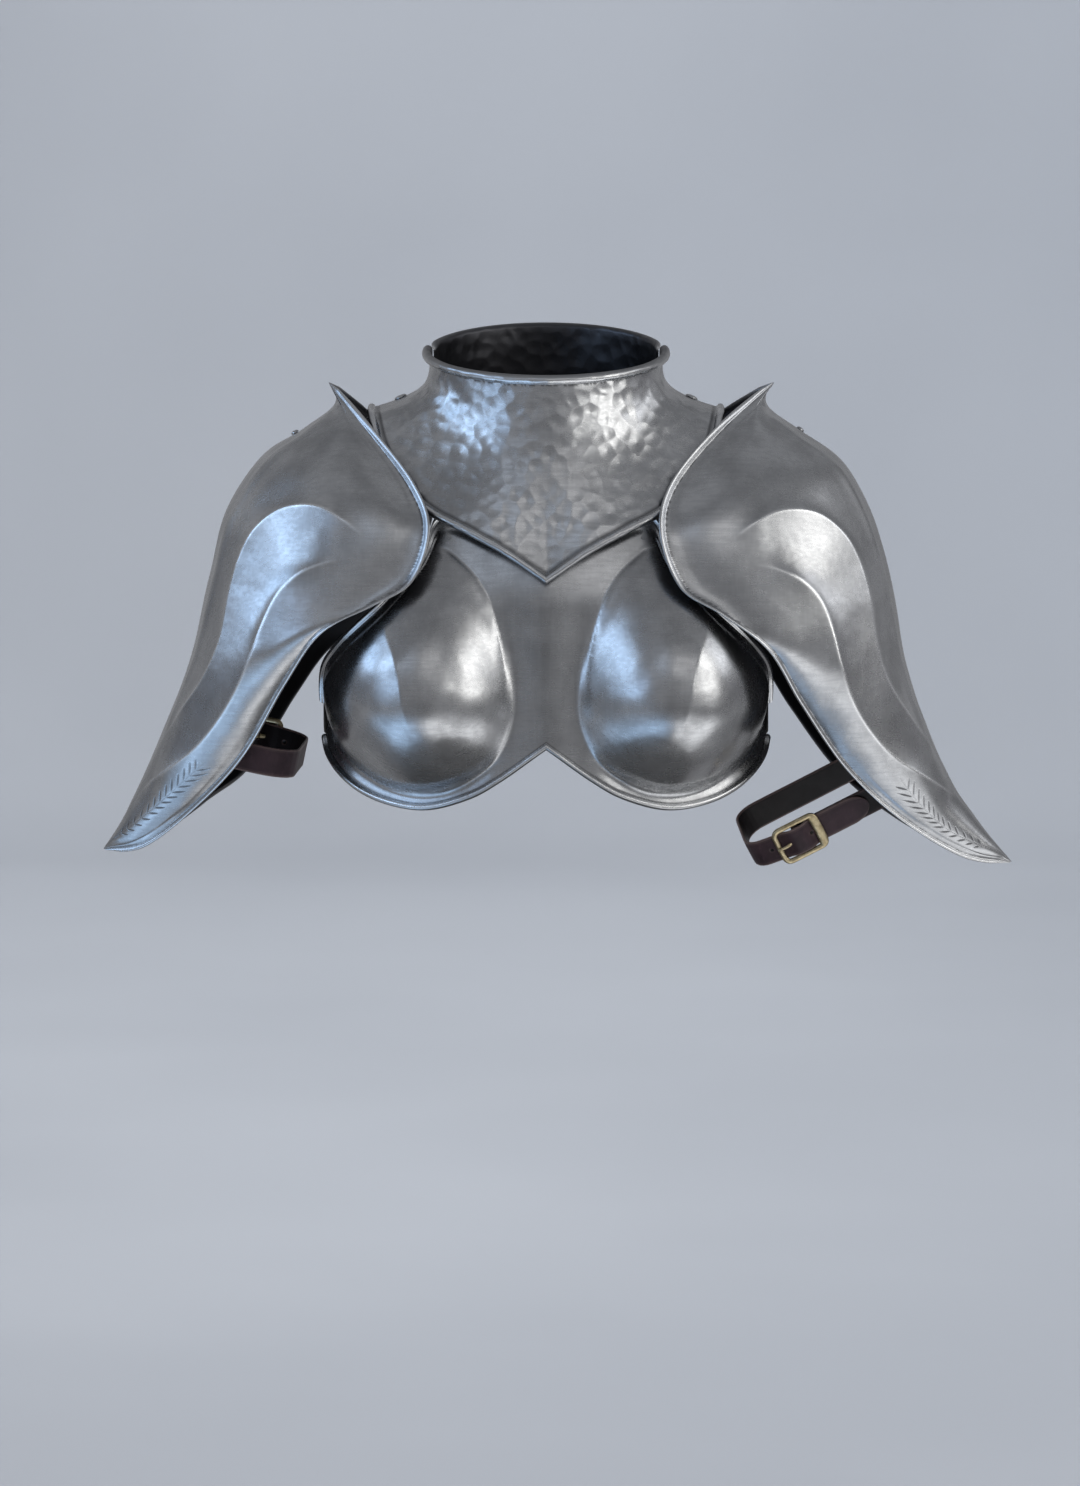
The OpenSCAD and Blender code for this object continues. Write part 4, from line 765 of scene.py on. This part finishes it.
def strap(name, frame_at, path, wide, finish, body, replaces, tip=(None, None),
          holes=(), stitched=(), step=0.55, thick=leather_t):
    """A band of leather along a path of [x, height] points in a frame (origin, x, height, side).

    tip gives how far each end is drawn to a point, holes [x, height, radius] pressed into both
    faces and painted black as shade, stitched spans of the path with a seam down each edge."""
    origin, x_way, up_way, side_way = arrays(frame_at)
    path = np.asarray(path, float)
    run = np.concatenate([[0], np.cumsum(np.linalg.norm(np.diff(path, axis=0), axis=1))])
    count = max(int(run[-1] / step), 12)
    at = np.linspace(0, run[-1], count)
    even = np.stack([np.interp(at, run, path[:, 0]), np.interp(at, run, path[:, 1])], -1)
    for _ in range(3):
        even[1:-1] = (even[:-2] + 2 * even[1:-1] + even[2:]) / 4
    ahead = unit(np.gradient(even, axis=0))
    out = np.stack([-ahead[:, 1], ahead[:, 0]], -1)
    half = np.full(count, wide / 2)
    for end, length in zip((0, 1), tip):
        if length:
            near = at if end == 0 else run[-1] - at
            half = half * np.sqrt(np.clip(1 - np.clip(1 - near / length, 0, 1) ** 2.2, 0.02, 1))
    bevel, crease_line, seam_line = 0.86, 0.82, 0.72
    groove_deep, wave_high, hole_deep = 0.16, 0.10, 0.75
    across = np.concatenate([np.linspace(-1, -bevel, 4), np.linspace(-0.80, 0.80, 25),
                             np.linspace(bevel, 1, 4)])
    crown = np.where(np.abs(across) > bevel, 1 - ((np.abs(across) - bevel) / 0.14) ** 2 * 0.55, 1)
    groove = bell(np.abs(across) - crease_line, 0.035)
    top = thick / 2 * crown - groove_deep * groove
    ring_across = np.concatenate([across, across[::-1]])
    on_top = np.arange(len(ring_across)) < len(across)
    ring_height = np.concatenate([top, -thick / 2 * crown[::-1]])
    edge = (np.abs(ring_across) > 0.9).astype(float)
    edge = np.maximum(edge, 0.35 * np.concatenate([groove, 0 * groove]))
    flat = even[:, None] + out[:, None] * ring_height[None, :, None]
    wave = wave_high * np.sin(at / 7.0)[:, None] * np.cos(2.0 * ring_across)[None]
    flat = flat + out[:, None] * wave[..., None]
    sideways = half[:, None] * ring_across[None]
    edges = np.repeat(edge[None], count, 0)
    thread = np.zeros_like(edges)
    for low, high in stitched:
        seam = bell(np.abs(ring_across) - seam_line, 0.05)[None]
        seam = seam * ((at >= low) & (at <= high))[:, None]
        beat = (np.cos(at * 6.283 / 2.6) > -0.2)[:, None]
        thread = np.maximum(thread, seam * beat * on_top)
        flat = flat + out[:, None] * (0.22 * thread - 0.1 * seam)[..., None] * on_top[None, :, None]
    # Where the holes are, marked for the painted shade in them.
    punched = np.zeros_like(edges)
    for x, height, radius in holes:
        near = np.hypot(even[:, None, 0] - x,
                        np.hypot(sideways, 0.2 * (even[:, 1] - height)[:, None]))
        mark = 1 - smooth((near - radius + 0.25) / 0.5)
        flat = flat - out[:, None] * (mark * np.sign(ring_height)[None] * hole_deep)[..., None]
        edges = np.maximum(edges, 0.6 * bell(near - radius - 0.3, 0.35))
        punched = np.maximum(punched, mark)
        thread = np.where(mark > 0.5, 0, thread)
    rings = (origin + flat[..., :1] * x_way + flat[..., 1:] * up_way
             + sideways[..., None] * side_way)
    # The lower half of each ring, the strap's back, is marked for painted shade.
    flesh_side_shade = np.repeat([[0.0, 1.0]], len(across), 1)
    marks = {"edge": edges, "thread": thread, "hole_shade": punched, "flesh_side_shade": flesh_side_shade}
    finished(name, lofted(rings, marks=marks), finish, body, replaces)


def mirror_x(frame_at):
    """A frame's origin and directions, mirrored from the left to the right."""
    return [v * (-1, 1, 1) for v in arrays(frame_at)]


chest_hanger_w = 20
black_leather = leather("black_leather", (0.006, 0.0057, 0.006), (0.03, 0.026, 0.024), 0.4, 0.15)
hang_out, hang_side = np.array((0.25225, -0.96766, 0)), np.array((0.96766, 0.25225, 0))
chest_path = spline([(-22.6, -54), (-19.4, -60), (-16.1, -66), (-12.8, -72), (-9.9, -79),
                     (-8.1, -87), (-6.7, -96), (-5.2, -105.5), (-2.9, -114), (-0.5, -122)],
                    np.linspace(0, 1, 60))
for side, flip in (("left", False), ("right", True)):
    place = [(63.39, -76.0, 0), hang_out, (0, 0, 1), hang_side]
    strap("chest_hanger_" + side, mirror_x(place) if flip else place, chest_path, chest_hanger_w,
          black_leather, "gorget_front", ["chest_hanger_" + side], (2.5, 2.5))


# Back straps. One black strap comes round from each side of the breastplate, and they meet in a
# brass buckle in the middle of the back. The side rivets have domed heads.
buckle_gap, wrap_t, wire_r, bar_r, bar_drop, wrap_r = 0.15, 1.3, 1.5, 1.2, 1.5, 1.94
under_bar = -(wire_r + buckle_gap + leather_t / 2)
over_bar = -bar_drop + bar_r + 0.1 + wrap_t + buckle_gap + leather_t / 2
back_lift = leather_t + buckle_gap
buckle_h = back_lift - under_bar


def frame_long(strap_w):
    """Length of a buckle's frame for a strap of this width."""
    return strap_w * 0.55 + 19


def tongue_heights(l):
    """Middle of the leather through a buckle: under the end bars and over the wrapped one."""
    return [(-l, under_bar), (-l + 5, under_bar + 1.2), (-4.5, over_bar - 0.2),
            (0, over_bar + 0.1), (4.5, over_bar - 0.2), (l - 5, under_bar + 1.2), (l, under_bar)]


def base_heights(l, fall=0.0):
    """Middle of the base's leather, from beyond the buckle to the bar that it wraps."""
    return [(l + 6, under_bar - back_lift - fall), (l, under_bar - back_lift - fall / 4),
            (l - 6, under_bar - back_lift), (4.5, under_bar - back_lift + 0.5)]


def curved(points, count):
    return spline(points, np.linspace(0, 1, count))


def full_turn(count):
    """Angles of so many points round a circle."""
    return np.linspace(0, 2 * np.pi, count + 1)[:-1]


def dome(name, at, axis, radius, height, grip, body, replaces, shank=1.5):
    """A rivet: domed head on the outer face, shank, and a peened end under the leather."""
    at, axis = np.asarray(at, float), unit(np.asarray(axis, float))
    side = unit(np.cross(axis, (0.3, 0.5, 0.81)))
    other = np.cross(axis, side)
    a = np.linspace(0, np.pi / 2, 9)
    rows = [(-grip - 1.1, shank * 1.1), (-grip - 0.9, shank * 1.6), (-grip, shank * 1.8),
            (-grip, shank), (0.15, shank), (0.3, radius * 0.97)]
    rows += [(0.5 + height * math.sin(t) ** 0.9, max(radius * math.cos(t) ** 0.8, 0.12)) for t in a]
    turn = full_turn(32)
    circle = np.cos(turn)[:, None] * side + np.sin(turn)[:, None] * other
    rings = np.array([at + axis * h + circle * r for h, r in rows])
    finished(name, lofted(rings), polished_rivet, body, replaces)


def outward(line):
    """Normals of a closed line that runs anticlockwise."""
    ahead = unit(np.roll(line, -1, 0) - np.roll(line, 1, 0))
    return np.stack([ahead[:, 1], -ahead[:, 0]], -1)


def bent_rod(line, wide, tall):
    """Rings of a squarish rod bent along a closed line: places in its plane, and heights."""
    a = full_turn(20)
    c, s = np.cos(a), np.sin(a)
    across, high = np.sign(c) * np.abs(c) ** 0.62, np.sign(s) * np.abs(s) ** 0.75
    flat = line[:, None] + outward(line)[:, None] * (across[None] * wide[:, None])[..., None]
    level = high[None] * tall[:, None] - 0.22 * np.abs(across)[None] ** 3 * (high > 0)[None]
    return flat, level


def corner_arcs(half_x, half_y, r, steps):
    """The four rounded corners of a rectangle, anticlockwise, each a list of points."""
    x, y = half_x - r, half_y - r
    return [[(cx + r * math.cos(t + n * np.pi / 2), cy + r * math.sin(t + n * np.pi / 2))
             for t in steps] for n, (cx, cy) in enumerate([(x, y), (-x, y), (-x, -y), (x, -y)])]


def add_shape(shape, other):
    """Put the other shape into a shape, and use it up."""
    mesh = bpy.data.meshes.new("other")
    other.to_mesh(mesh)
    other.free()
    shape.from_mesh(mesh)
    bpy.data.meshes.remove(mesh)


def buckle(name, place, strap_w, finish, body, frame_node, prong_node, prong_body):
    """Cast frame with a broad front rail, a centre bar, and a prong that turns on the bar."""
    origin, x_way, side_way, up_way = arrays(place)
    long, wide, corner = frame_long(strap_w), strap_w + 2 + 2 * wire_r, 4.0
    a, b = long / 2 - corner, wide / 2 - corner
    sides = [[(a, wide / 2), (-a, wide / 2)], [(-long / 2, b), (-long / 2, -b)],
             [(-a, -wide / 2), (a, -wide / 2)], [(long / 2, -b), (long / 2, b)]]
    arcs = corner_arcs(long / 2, wide / 2, corner, np.linspace(0, np.pi / 2, 9)[:-1])
    line = []
    for arc, (one, two) in zip(arcs, sides):
        line += arc + [np.add(one, np.subtract(two, one) * t) for t in np.linspace(0, 1, 9)[:-1]]
    line = np.array(line)
    broad = smooth((line[:, 0] - a - 0.5) / (corner - 0.7)) * 1.25
    line[:, 0] = line[:, 0] - broad
    bulge = 0.35 * np.cos(np.pi * line[:, 1] / wide) * (np.abs(line[:, 0]) > a)
    line[:, 0] += np.sign(line[:, 0]) * bulge
    flat, level = bent_rod(line, 1.8 + 1.1 * broad, 1.4 - 0.1 * broad)
    rings = (origin + flat[..., :1] * x_way + flat[..., 1:] * side_way
             + level[..., None] * up_way)
    shape = lofted(rings, closed_way=True)
    turn = full_turn(24)
    y = np.array([-wide / 2, -wide / 2 + 0.6, -3, -2.4, 2.4, 3, wide / 2 - 0.6, wide / 2])
    r = np.array([1.35] + [bar_r] * 6 + [1.35])
    rod = (origin + np.cos(turn)[None, :, None] * r[:, None, None] * x_way
           + (np.sin(turn)[None, :] * r[:, None] - bar_drop)[..., None] * up_way
           + y[:, None, None] * side_way)
    add_shape(shape, lofted(rod))
    finished(name + "_frame", shape, finish, body, [frame_node])

    path = curved([(-1.9, 0.5), (-5, 1.9), (-9.5, wire_r + 2.5),
                   (-long / 2 - 2.2, wire_r + 2.4)], 34)
    ahead = unit(np.gradient(path, axis=0))
    out = np.stack([ahead[:, 1], -ahead[:, 0]], -1)
    share = np.linspace(0, 1, len(path))
    half = 1.45 - 0.55 * share ** 1.5
    half[-3:] *= (0.9, 0.65, 0.25)
    deep = 0.72 * np.where(share > 0.93, (1 - share) / 0.07 * 0.7 + 0.3, 1)
    turn = full_turn(16)
    flat = path[:, None] + out[:, None] * (np.sin(turn)[None] * deep[:, None])[..., None]
    rod = (origin - bar_drop * up_way + flat[..., :1] * x_way + flat[..., 1:] * up_way
           + (np.cos(turn)[None] * half[:, None])[..., None] * side_way)
    shape = lofted(rod)
    rim = [(1.3, -1.4), (1.75, -1.5), (2.25, -1.4), (2.4, -1.0), (2.4, 1.0), (2.25, 1.4),
           (1.75, 1.5), (1.3, 1.4)]
    hoop = np.array([[origin - bar_drop * up_way + r * (math.cos(t) * x_way + math.sin(t) * up_way)
                      + w * side_way for r, w in rim] for t in full_turn(32)])
    add_shape(shape, lofted(hoop, closed_way=True))
    finished(name + "_prong", shape, finish, prong_body, [prong_node])


def wraps(name, place, strap_w, finish, body):
    """The skived end of a strap's base, in two strips that go round the bar beside the prong."""
    path = [(4.7, under_bar - back_lift + 0.45), (2.4, -bar_drop - 2.2)]
    path += [(wrap_r * math.cos(t), -bar_drop + wrap_r * math.sin(t))
             for t in np.linspace(math.radians(-62), math.radians(-395), 40)]
    prong_room = 2.1
    each = strap_w / 2 - prong_room
    origin, x_way, side_way, up_way = arrays(place)
    for n, side in enumerate((-1, 1)):
        spot = [origin + side * (prong_room + each / 2) * side_way, x_way, up_way, side_way]
        strap("%s_%d" % (name, n + 1), spot, path, each, finish, body, [], (None, 0.6),
              thick=wrap_t, step=0.3)


polished_rivet = steel("rivet_steel")
brass = Finish("aged_brass", 1.0, 0.3)
brass_tone = brass.mix(brass.noise(4.0, 4.0, 0.6).above(0.35, 0.7), (0.66, 0.56, 0.36),
                       (0.42, 0.34, 0.20))
brass.feed(Base_Color=brass_tone, Roughness=0.24 + 0.22 * brass.noise(1.8, 3.0, 0.6),
           Normal=brass.bump(brass.noise(1.2, 3.0, 0.6), 0.03, 0.5))

back_w, strap_gap = 25, 0.4
back_half, back_y, back_z = chest_half - sheet - strap_gap - leather_t / 2, 92.0, -240.0


def back_round(turn):
    """The straps' middle line round the chest, by degrees from the front."""
    turn = np.radians(turn)
    front = chest_deep - chest_slope - sheet - strap_gap - leather_t / 2
    depth = np.where(turn < np.pi / 2, front, back_y)
    return np.stack([back_half * np.sin(turn), -depth * np.cos(turn)], -1)


def back_fall(x):
    """How far the round of the back falls off beside its middle."""
    return back_y * (1 - np.sqrt(1 - (x / back_half) ** 2))


back_l = frame_long(back_w) / 2
over = curved([(-31, -buckle_h - back_fall(31)), (-23.5, under_bar - 1.5)] + tongue_heights(back_l)
              + [(x, under_bar - back_fall(x) + 0.3) for x in (23, 31, 42, 53, 60.2)], 60)
round_side = back_round(np.arange(64, 165, 4.0))
tongue = np.concatenate([round_side, over * (-1, 1) + (0, back_y + buckle_h)])[::-1]
at_back = [(0, 0, back_z), (1, 0, 0), (0, 1, 0), (0, 0, 1)]
holes = [(-x, back_y + buckle_h + h, 1.3) for x, h in
         ((-22, under_bar - 1.2), (27, under_bar - 1.1), (39, under_bar - 2.8))]
strap("back_strap_tongue", at_back, tongue, back_w, black_leather, "gorget_front",
      ["back_strap_left"], (14, 6), holes)
under = curved([(30, -buckle_h - back_fall(30))] + base_heights(back_l, 0.9), 20)
base = np.concatenate([round_side, under + (0, back_y + buckle_h)])[::-1]
strap("back_strap_base", mirror_x(at_back), base, back_w, black_leather, "gorget_front",
      ["back_strap_right"], (None, 6), stitched=((2, 9),))
at_buckle = [(0, back_y + buckle_h, back_z), (-1, 0, 0), (0, 0, 1), (0, 1, 0)]
buckle("back_buckle", at_buckle, back_w, brass, "gorget_front", "back_buckle_frame",
       "back_buckle_prong", "back_prong")
wraps("back_strap_wrap", at_buckle, back_w, black_leather, "gorget_front")
for side, flip in (("left", 1), ("right", -1)):
    dome("side_rivet_" + side, (flip * 142.249, -29.8266, -242), (flip * 0.882135, -0.470997, 0),
         3.0, 1.1, 3.9, "gorget_front", ["back_strap_rivet_" + side])

# Back strap's keeper. A closed loop of the same black leather sits on the strap past the buckle
# and holds the tip down.
keeper_x = 34.0
slope = back_y * keeper_x / back_half ** 2
across_way = unit(np.array((-1.0, -slope, 0)))
out_way = unit(np.array((-slope, 1.0, 0)))
half_w, half_h, round_r = back_w / 2 + 1.0, 2.9, 1.6
loop_line = np.concatenate(corner_arcs(half_h, half_w, round_r, np.linspace(0, np.pi / 2, 7)))
band = [(-4.0, -0.5), (-3.9, 0.35), (-3.4, 0.62), (0, 0.72), (3.4, 0.62), (3.9, 0.35), (4.0, -0.5),
        (3.5, -0.62), (-3.5, -0.62)]
middle = np.array((-keeper_x, back_y - back_fall(keeper_x) + strap_gap - 0.25, back_z))
rings = np.array([[middle + (q + o * h)[0] * out_way + (q + o * h)[1] * np.array((0, 0, 1.0))
                   + w * across_way for w, h in band]
                  for q, o in zip(loop_line, outward(loop_line))])
marks = {"edge": np.tile([1, 1, 0.3, 0, 0.3, 1, 1, 0, 0], (len(loop_line), 1))}
finished("back_strap_keeper", lofted(rings, closed_way=True, marks=marks), black_leather,
         "gorget_front", ["back_strap_keeper"])

# Shoulder fittings. A steel chape riveted under each end of the gorget holds the bar of a small
# buckle, and a strap runs from the buckle to a domed rivet in the crown of the pauldron.
satin_dark = steel("dark_steel", shade=(0.33, 0.33, 0.335), gloss=0.3)
for finish, names in (
        (satin_dark, ("hanger_chape", "hanger_frame", "hanger_prong")),
        (polished_rivet, ("hanger_chape_rivet", "chest_hanger_upper_rivet",
                          "chest_hanger_lower_rivet", "arm_front_rivet", "arm_back_rivet"))):
    for name in names:
        for side in ("_left", "_right"):
            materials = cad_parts[name + side].data.materials
            materials.clear()
            materials.append(finish.material)
hanger_start = [(108.004, -47.9652), (114.81, -49.6162), (121.657, -51.0716),
                (125.715, -51.2185), (133.435, -48.5657), (139.637, -48.2481)]
hanger_end = [[(160.662, -51.9186), (164.429, -54.6274), (170.511, -58.7881),
               (176.953, -62.6825), (182.63, -66.2627)],
              [(156.695, -52.7536), (161.142, -55.7961), (166.574, -58.9366),
               (172.017, -61.9444), (176.998, -65.0067)]]
hanger_w = 14
crown_rivet = [((167.933, 2.61878, -51.3777), (0.586673, 0.100818, 0.803524), 6.3),
               ((165.919, 3.07816, -53.5054), (0.493568, 0.0880442, 0.865239), 6.0)]
for k, side, flip in ((0, "left", 1), (1, "right", -1)):
    place = [(0, 2, 0), (1, 0, 0), (0, 0, 1), (0, 1, 0)]
    strap("hanger_strap_" + side, mirror_x(place) if flip < 0 else place,
          curved(hanger_start + hanger_end[k], 80), hanger_w, black_leather, "pauldron_" + side,
          ["hanger_strap_" + side], (4, 4), stitched=((55, 68),))
    at, axis, grip = crown_rivet[k]
    dome("crown_rivet_" + side, np.array(at) * (flip, 1, 1), np.array(axis) * (flip, 1, 1),
         2.7, 1.6, grip, "pauldron_" + side, ["hanger_rivet_" + side])
for name, flip, body in (("gorget_pivot", 1, "gorget_front"),
                         ("gorget_closing_stud", -1, "gorget_back")):
    dome(name, (flip * 96.3047, 12.6177, -30.7821), (flip * 0.39306, 0.0212201, 0.919268),
         4.3, 1.5, 4.7, body, [name], shank=2.2)

# Arm straps. A loop of dark brown leather hangs from two rivets inside each pauldron and closes
# with a cast brass buckle; the strap's tongue ends in a blunt point. The tongue is a lighter, lit
# copy of the leather (painted light), and the base, its ends and wraps are a darker copy (painted
# shade).
# Painted light and shade: the tongue's leather is a lighter copy of the base's.
shaded_brown_leather = leather("shaded_brown_leather", (0.009, 0.0052, 0.0062), (0.08, 0.052, 0.05), 0.5, 0.05)
lit_tongue_leather = leather("lit_tongue_leather", (0.062, 0.034, 0.041), (0.17, 0.115, 0.105), 0.46, 0.08)
arm_w = 19
arm_l = frame_long(arm_w) / 2
arm_place = [
    [np.array((248.569, -1.58492, -267.257)), np.array((-0.888509, 0.00467206, -0.458835)),
     np.array((0.116205, -0.965061, -0.23485))],
    [np.array((234.68, -0.792138, -253.599)), np.array((-0.975291, -0.072005, -0.208858)),
     np.array((-0.0744857, 0.997214, 0.00402591))]]
arm_half, arm_reach, arm_end_r = (30.6724, 45.3679), (129.0, 73.0), (14.0, 22.0)
arm_back, arm_tip = (34.0, 36.0), (51.0, 24.0)
pad_in, pad_r = sheet + 1.3 + leather_t / 2, 6.0
pads = [{"front": ((255.001, -33.1734, -273.576), (0.796697, -0.552161, 0.245747)),
         "back": ((247.907, 29.9907, -259.257), (0.806279, 0.54858, 0.2213))},
        {"front": ((240.778, -48.3554, -253.362), (0.755328, -0.644916, 0.116465)),
         "back": ((233.756, 47.0774, -253.265), (0.682152, 0.729997, 0.0420984))}]


def arm_lead(name, k, pad, end, flip, body):
    """The strap's end inside the pauldron, pinched from its width to the round under the rivet."""
    (at, up), (origin, along, out) = pad, arm_place[k]
    at, up = np.array(at), np.array(up)
    side = np.cross(along, out)
    one = unit(np.cross(up, (0, 0, 1)))
    two = np.cross(up, one)
    shape = bmesh.new()
    for depth in (pad_in - leather_t / 2, pad_in + leather_t / 2):
        for t in full_turn(28):
            round_pad = pad_r * (math.cos(t) * one + math.sin(t) * two)
            shape.verts.new((at - depth * up + round_pad) * mm)
    for x, y, z in itertools.product((5.2, 6.8), (-0.75, 0.75), (-9.1, 9.1)):
        off = x * along + (end * arm_half[k] + y) * out
        shape.verts.new((origin + off + z * side) * mm)
    hull = bmesh.ops.convex_hull(shape, input=shape.verts)
    bmesh.ops.delete(shape, geom=[v for v in set(hull["geom_interior"] + hull["geom_unused"])
                                  if isinstance(v, bmesh.types.BMVert)], context="VERTS")
    bmesh.ops.bevel(shape, geom=[e for e in shape.edges if e.calc_face_angle(0) > 0.5],
                    offset=0.25 * mm, segments=2, profile=0.5, affect="EDGES", material=-1)
    bmesh.ops.scale(shape, vec=(flip, 1, 1), verts=shape.verts)
    bmesh.ops.recalc_face_normals(shape, faces=shape.faces)
    for face in shape.faces:
        face.smooth = True
    finished(name, shape, shaded_brown_leather, body, [])


for k, side, flip in ((0, "left", 1), (1, "right", -1)):
    body = "pauldron_" + side
    origin, along, out = arm_place[k]
    way = np.cross(along, out)
    place = [origin, along, out, way]
    middle = arm_reach[k] - arm_back[k]
    at_arm_buckle = [origin + middle * along + (arm_half[k] + buckle_h) * out, -along, way, out]
    if flip < 0:
        place, at_arm_buckle = mirror_x(place), mirror_x(at_arm_buckle)

    r, x, y = arm_end_r[k], arm_reach[k] - arm_end_r[k], arm_half[k] - arm_end_r[k]
    turns = np.radians(np.arange(-90, 1, 15))
    corner = np.stack([x + r * np.cos(turns), y - r * np.sin(turns)], -1)
    top = corner[::-1]
    top = top[top[:, 1] < arm_half[k] - 0.8]
    over = curved(tongue_heights(arm_l) + [(arm_l + 6, under_bar),
                  ((arm_l + arm_tip[k]) / 2 + 4, under_bar), (arm_tip[k], under_bar)], 60)
    over = np.stack([middle - over[:, 0], arm_half[k] + buckle_h + over[:, 1]], -1)
    loop = np.concatenate([[(5, -arm_half[k]), (x / 2, -arm_half[k] - 0.6)], corner * (1, -1),
                           top, over])[::-1]
    punched = [(middle - h, arm_half[k] + buckle_h + level, 1.25)
               for h, level in ((-20, under_bar + 0.2), (8.3, over_bar - 1.7))]
    strap("arm_strap_tongue_" + side, place, loop, arm_w, lit_tongue_leather, body,
          ["arm_strap_tongue_" + side], (15, 3), punched)
    under = curved(base_heights(arm_l), 16)
    under = np.stack([middle - under[:, 0], arm_half[k] + buckle_h + under[:, 1]], -1)
    strap("arm_strap_base_" + side, place, np.concatenate([[(5, arm_half[k])], under]), arm_w,
          shaded_brown_leather, body, ["arm_strap_base_" + side], (3, None))
    for end, name, spot in ((1, "base", ("front", "back")[k]),
                            (-1, "tongue", ("back", "front")[k])):
        arm_lead("arm_strap_%s_end_%s" % (name, side), k, pads[k][spot], end, flip, body)
    buckle("arm_buckle_" + side, at_arm_buckle, arm_w, brass, body, "arm_buckle_frame_" + side,
           "arm_buckle_prong_" + side, "arm_prong_" + side)
    wraps("arm_strap_wrap_" + side, at_arm_buckle, arm_w, shaded_brown_leather, body)
